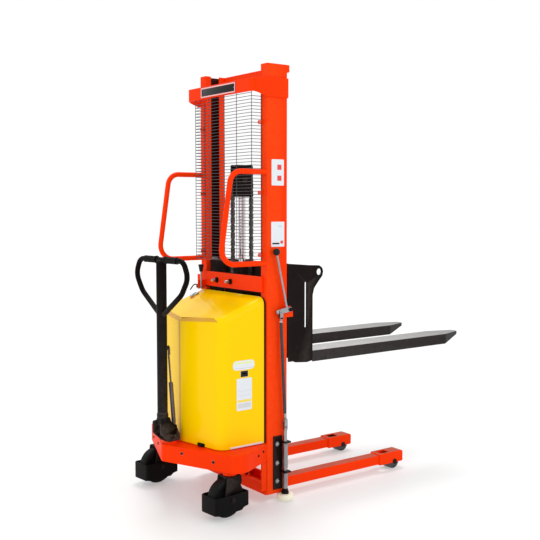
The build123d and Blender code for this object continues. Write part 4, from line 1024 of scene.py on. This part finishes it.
# --------------------------------------------------------------- lowering lever
bm = bmesh.new()
add_lathe(bm, [(4.2, 216), (7.2, 216), (8, 216.8), (8, 227.2), (7.2, 228), (4.2, 228)], (-45, 0, 1002), "y", 28, mi=0)
add_tube(bm, [(-45, 222, 1004), (-45, 222, 1084)], 4.5, n=20, mi=0)
add_lathe(bm, [(0.05, 1082), (6.8, 1082), (8, 1083), (8.6, 1086), (13.6, 1112), (14.4, 1116.5), (12.6, 1119.2), (8, 1120), (0.05, 1120)], (-45, 222, 0), "z", 36, mi=1)
piece("valve_lever_v", bm, STEEL, "valve_lever", ("valve_lever",), 35, (LBLACK,))
bm = bmesh.new()
add_cyl(bm, "y", (-45, 1002), 7.0, 211.5, 215.6, 1.0, 20, mi=1)
add_box(bm, -57, -33, 237, 252, 998, 1012, 2.0, mi=0)
add_tube(bm, path3d([(-30, 246, 1010), (-70, 250, 1018), (-96, 246, 990)], [20], n=6), 3.0, n=12, mi=0)
piece("valve_bits", bm, BLACK, "chassis", (), 35, (STEEL,))

# ----------------------------------------------------------------------- stage
vs_ = bpy.context.scene.view_settings
vs_.view_transform = "Standard"
vs_.look = "None"
vs_.exposure = 0.0
vs_.gamma = 1.0
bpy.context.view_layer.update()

fl = bpy.data.meshes.new("floor")
R = 40.0
fl.from_pydata([(-R, -R, 0), (R, -R, 0), (R, R, 0), (-R, R, 0)], [], [(0, 1, 2, 3)])
floor = bpy.data.objects.new("floor", fl)
bpy.context.scene.collection.objects.link(floor)
fm = bpy.data.materials.new("floor_white"); fm.use_nodes = True
fb = fm.node_tree.nodes["Principled BSDF"]
fb.inputs["Base Color"].default_value = (0.48, 0.48, 0.48, 1)
fb.inputs["Roughness"].default_value = 0.45
fb.inputs["Specular IOR Level"].default_value = 0.1
fb.inputs["Emission Color"].default_value = (1, 1, 1, 1)
fb.inputs["Emission Strength"].default_value = 0.34
fl.materials.append(fm)

w = bpy.data.worlds.new("studio"); bpy.context.scene.world = w
w.use_nodes = True
w.node_tree.nodes["Background"].inputs["Color"].default_value = (1.0, 1.0, 1.0, 1)
w.node_tree.nodes["Background"].inputs["Strength"].default_value = 1.0


def area(name, loc, target, size, power, color=(1, 1, 1)):
    d = bpy.data.lights.new(name, "AREA"); d.shape = "RECTANGLE"; d.size = size[0]; d.size_y = size[1]
    d.energy = power; d.color = color
    o = bpy.data.objects.new(name, d)
    bpy.context.scene.collection.objects.link(o)
    o.location = loc
    o.rotation_euler = (Vector(target) - Vector(loc)).to_track_quat("-Z", "Y").to_euler()
    return o


sun = bpy.data.lights.new("soft_sun", "SUN"); sun.energy = 1.5; sun.angle = math.radians(24)
so_ = bpy.data.objects.new("soft_sun", sun); bpy.context.scene.collection.objects.link(so_)
so_.rotation_euler = Vector((-0.594 * 0.36, -0.804 * 0.36, -0.93)).to_track_quat("-Z", "Y").to_euler()
area("key_side", (0.5, -4.5, 3.0), (0, 0, 0.9), (2.4, 3.0), 28)
area("rear_left", (-4.5, -0.6, 2.4), (0, 0, 0.9), (2.0, 2.6), 22)
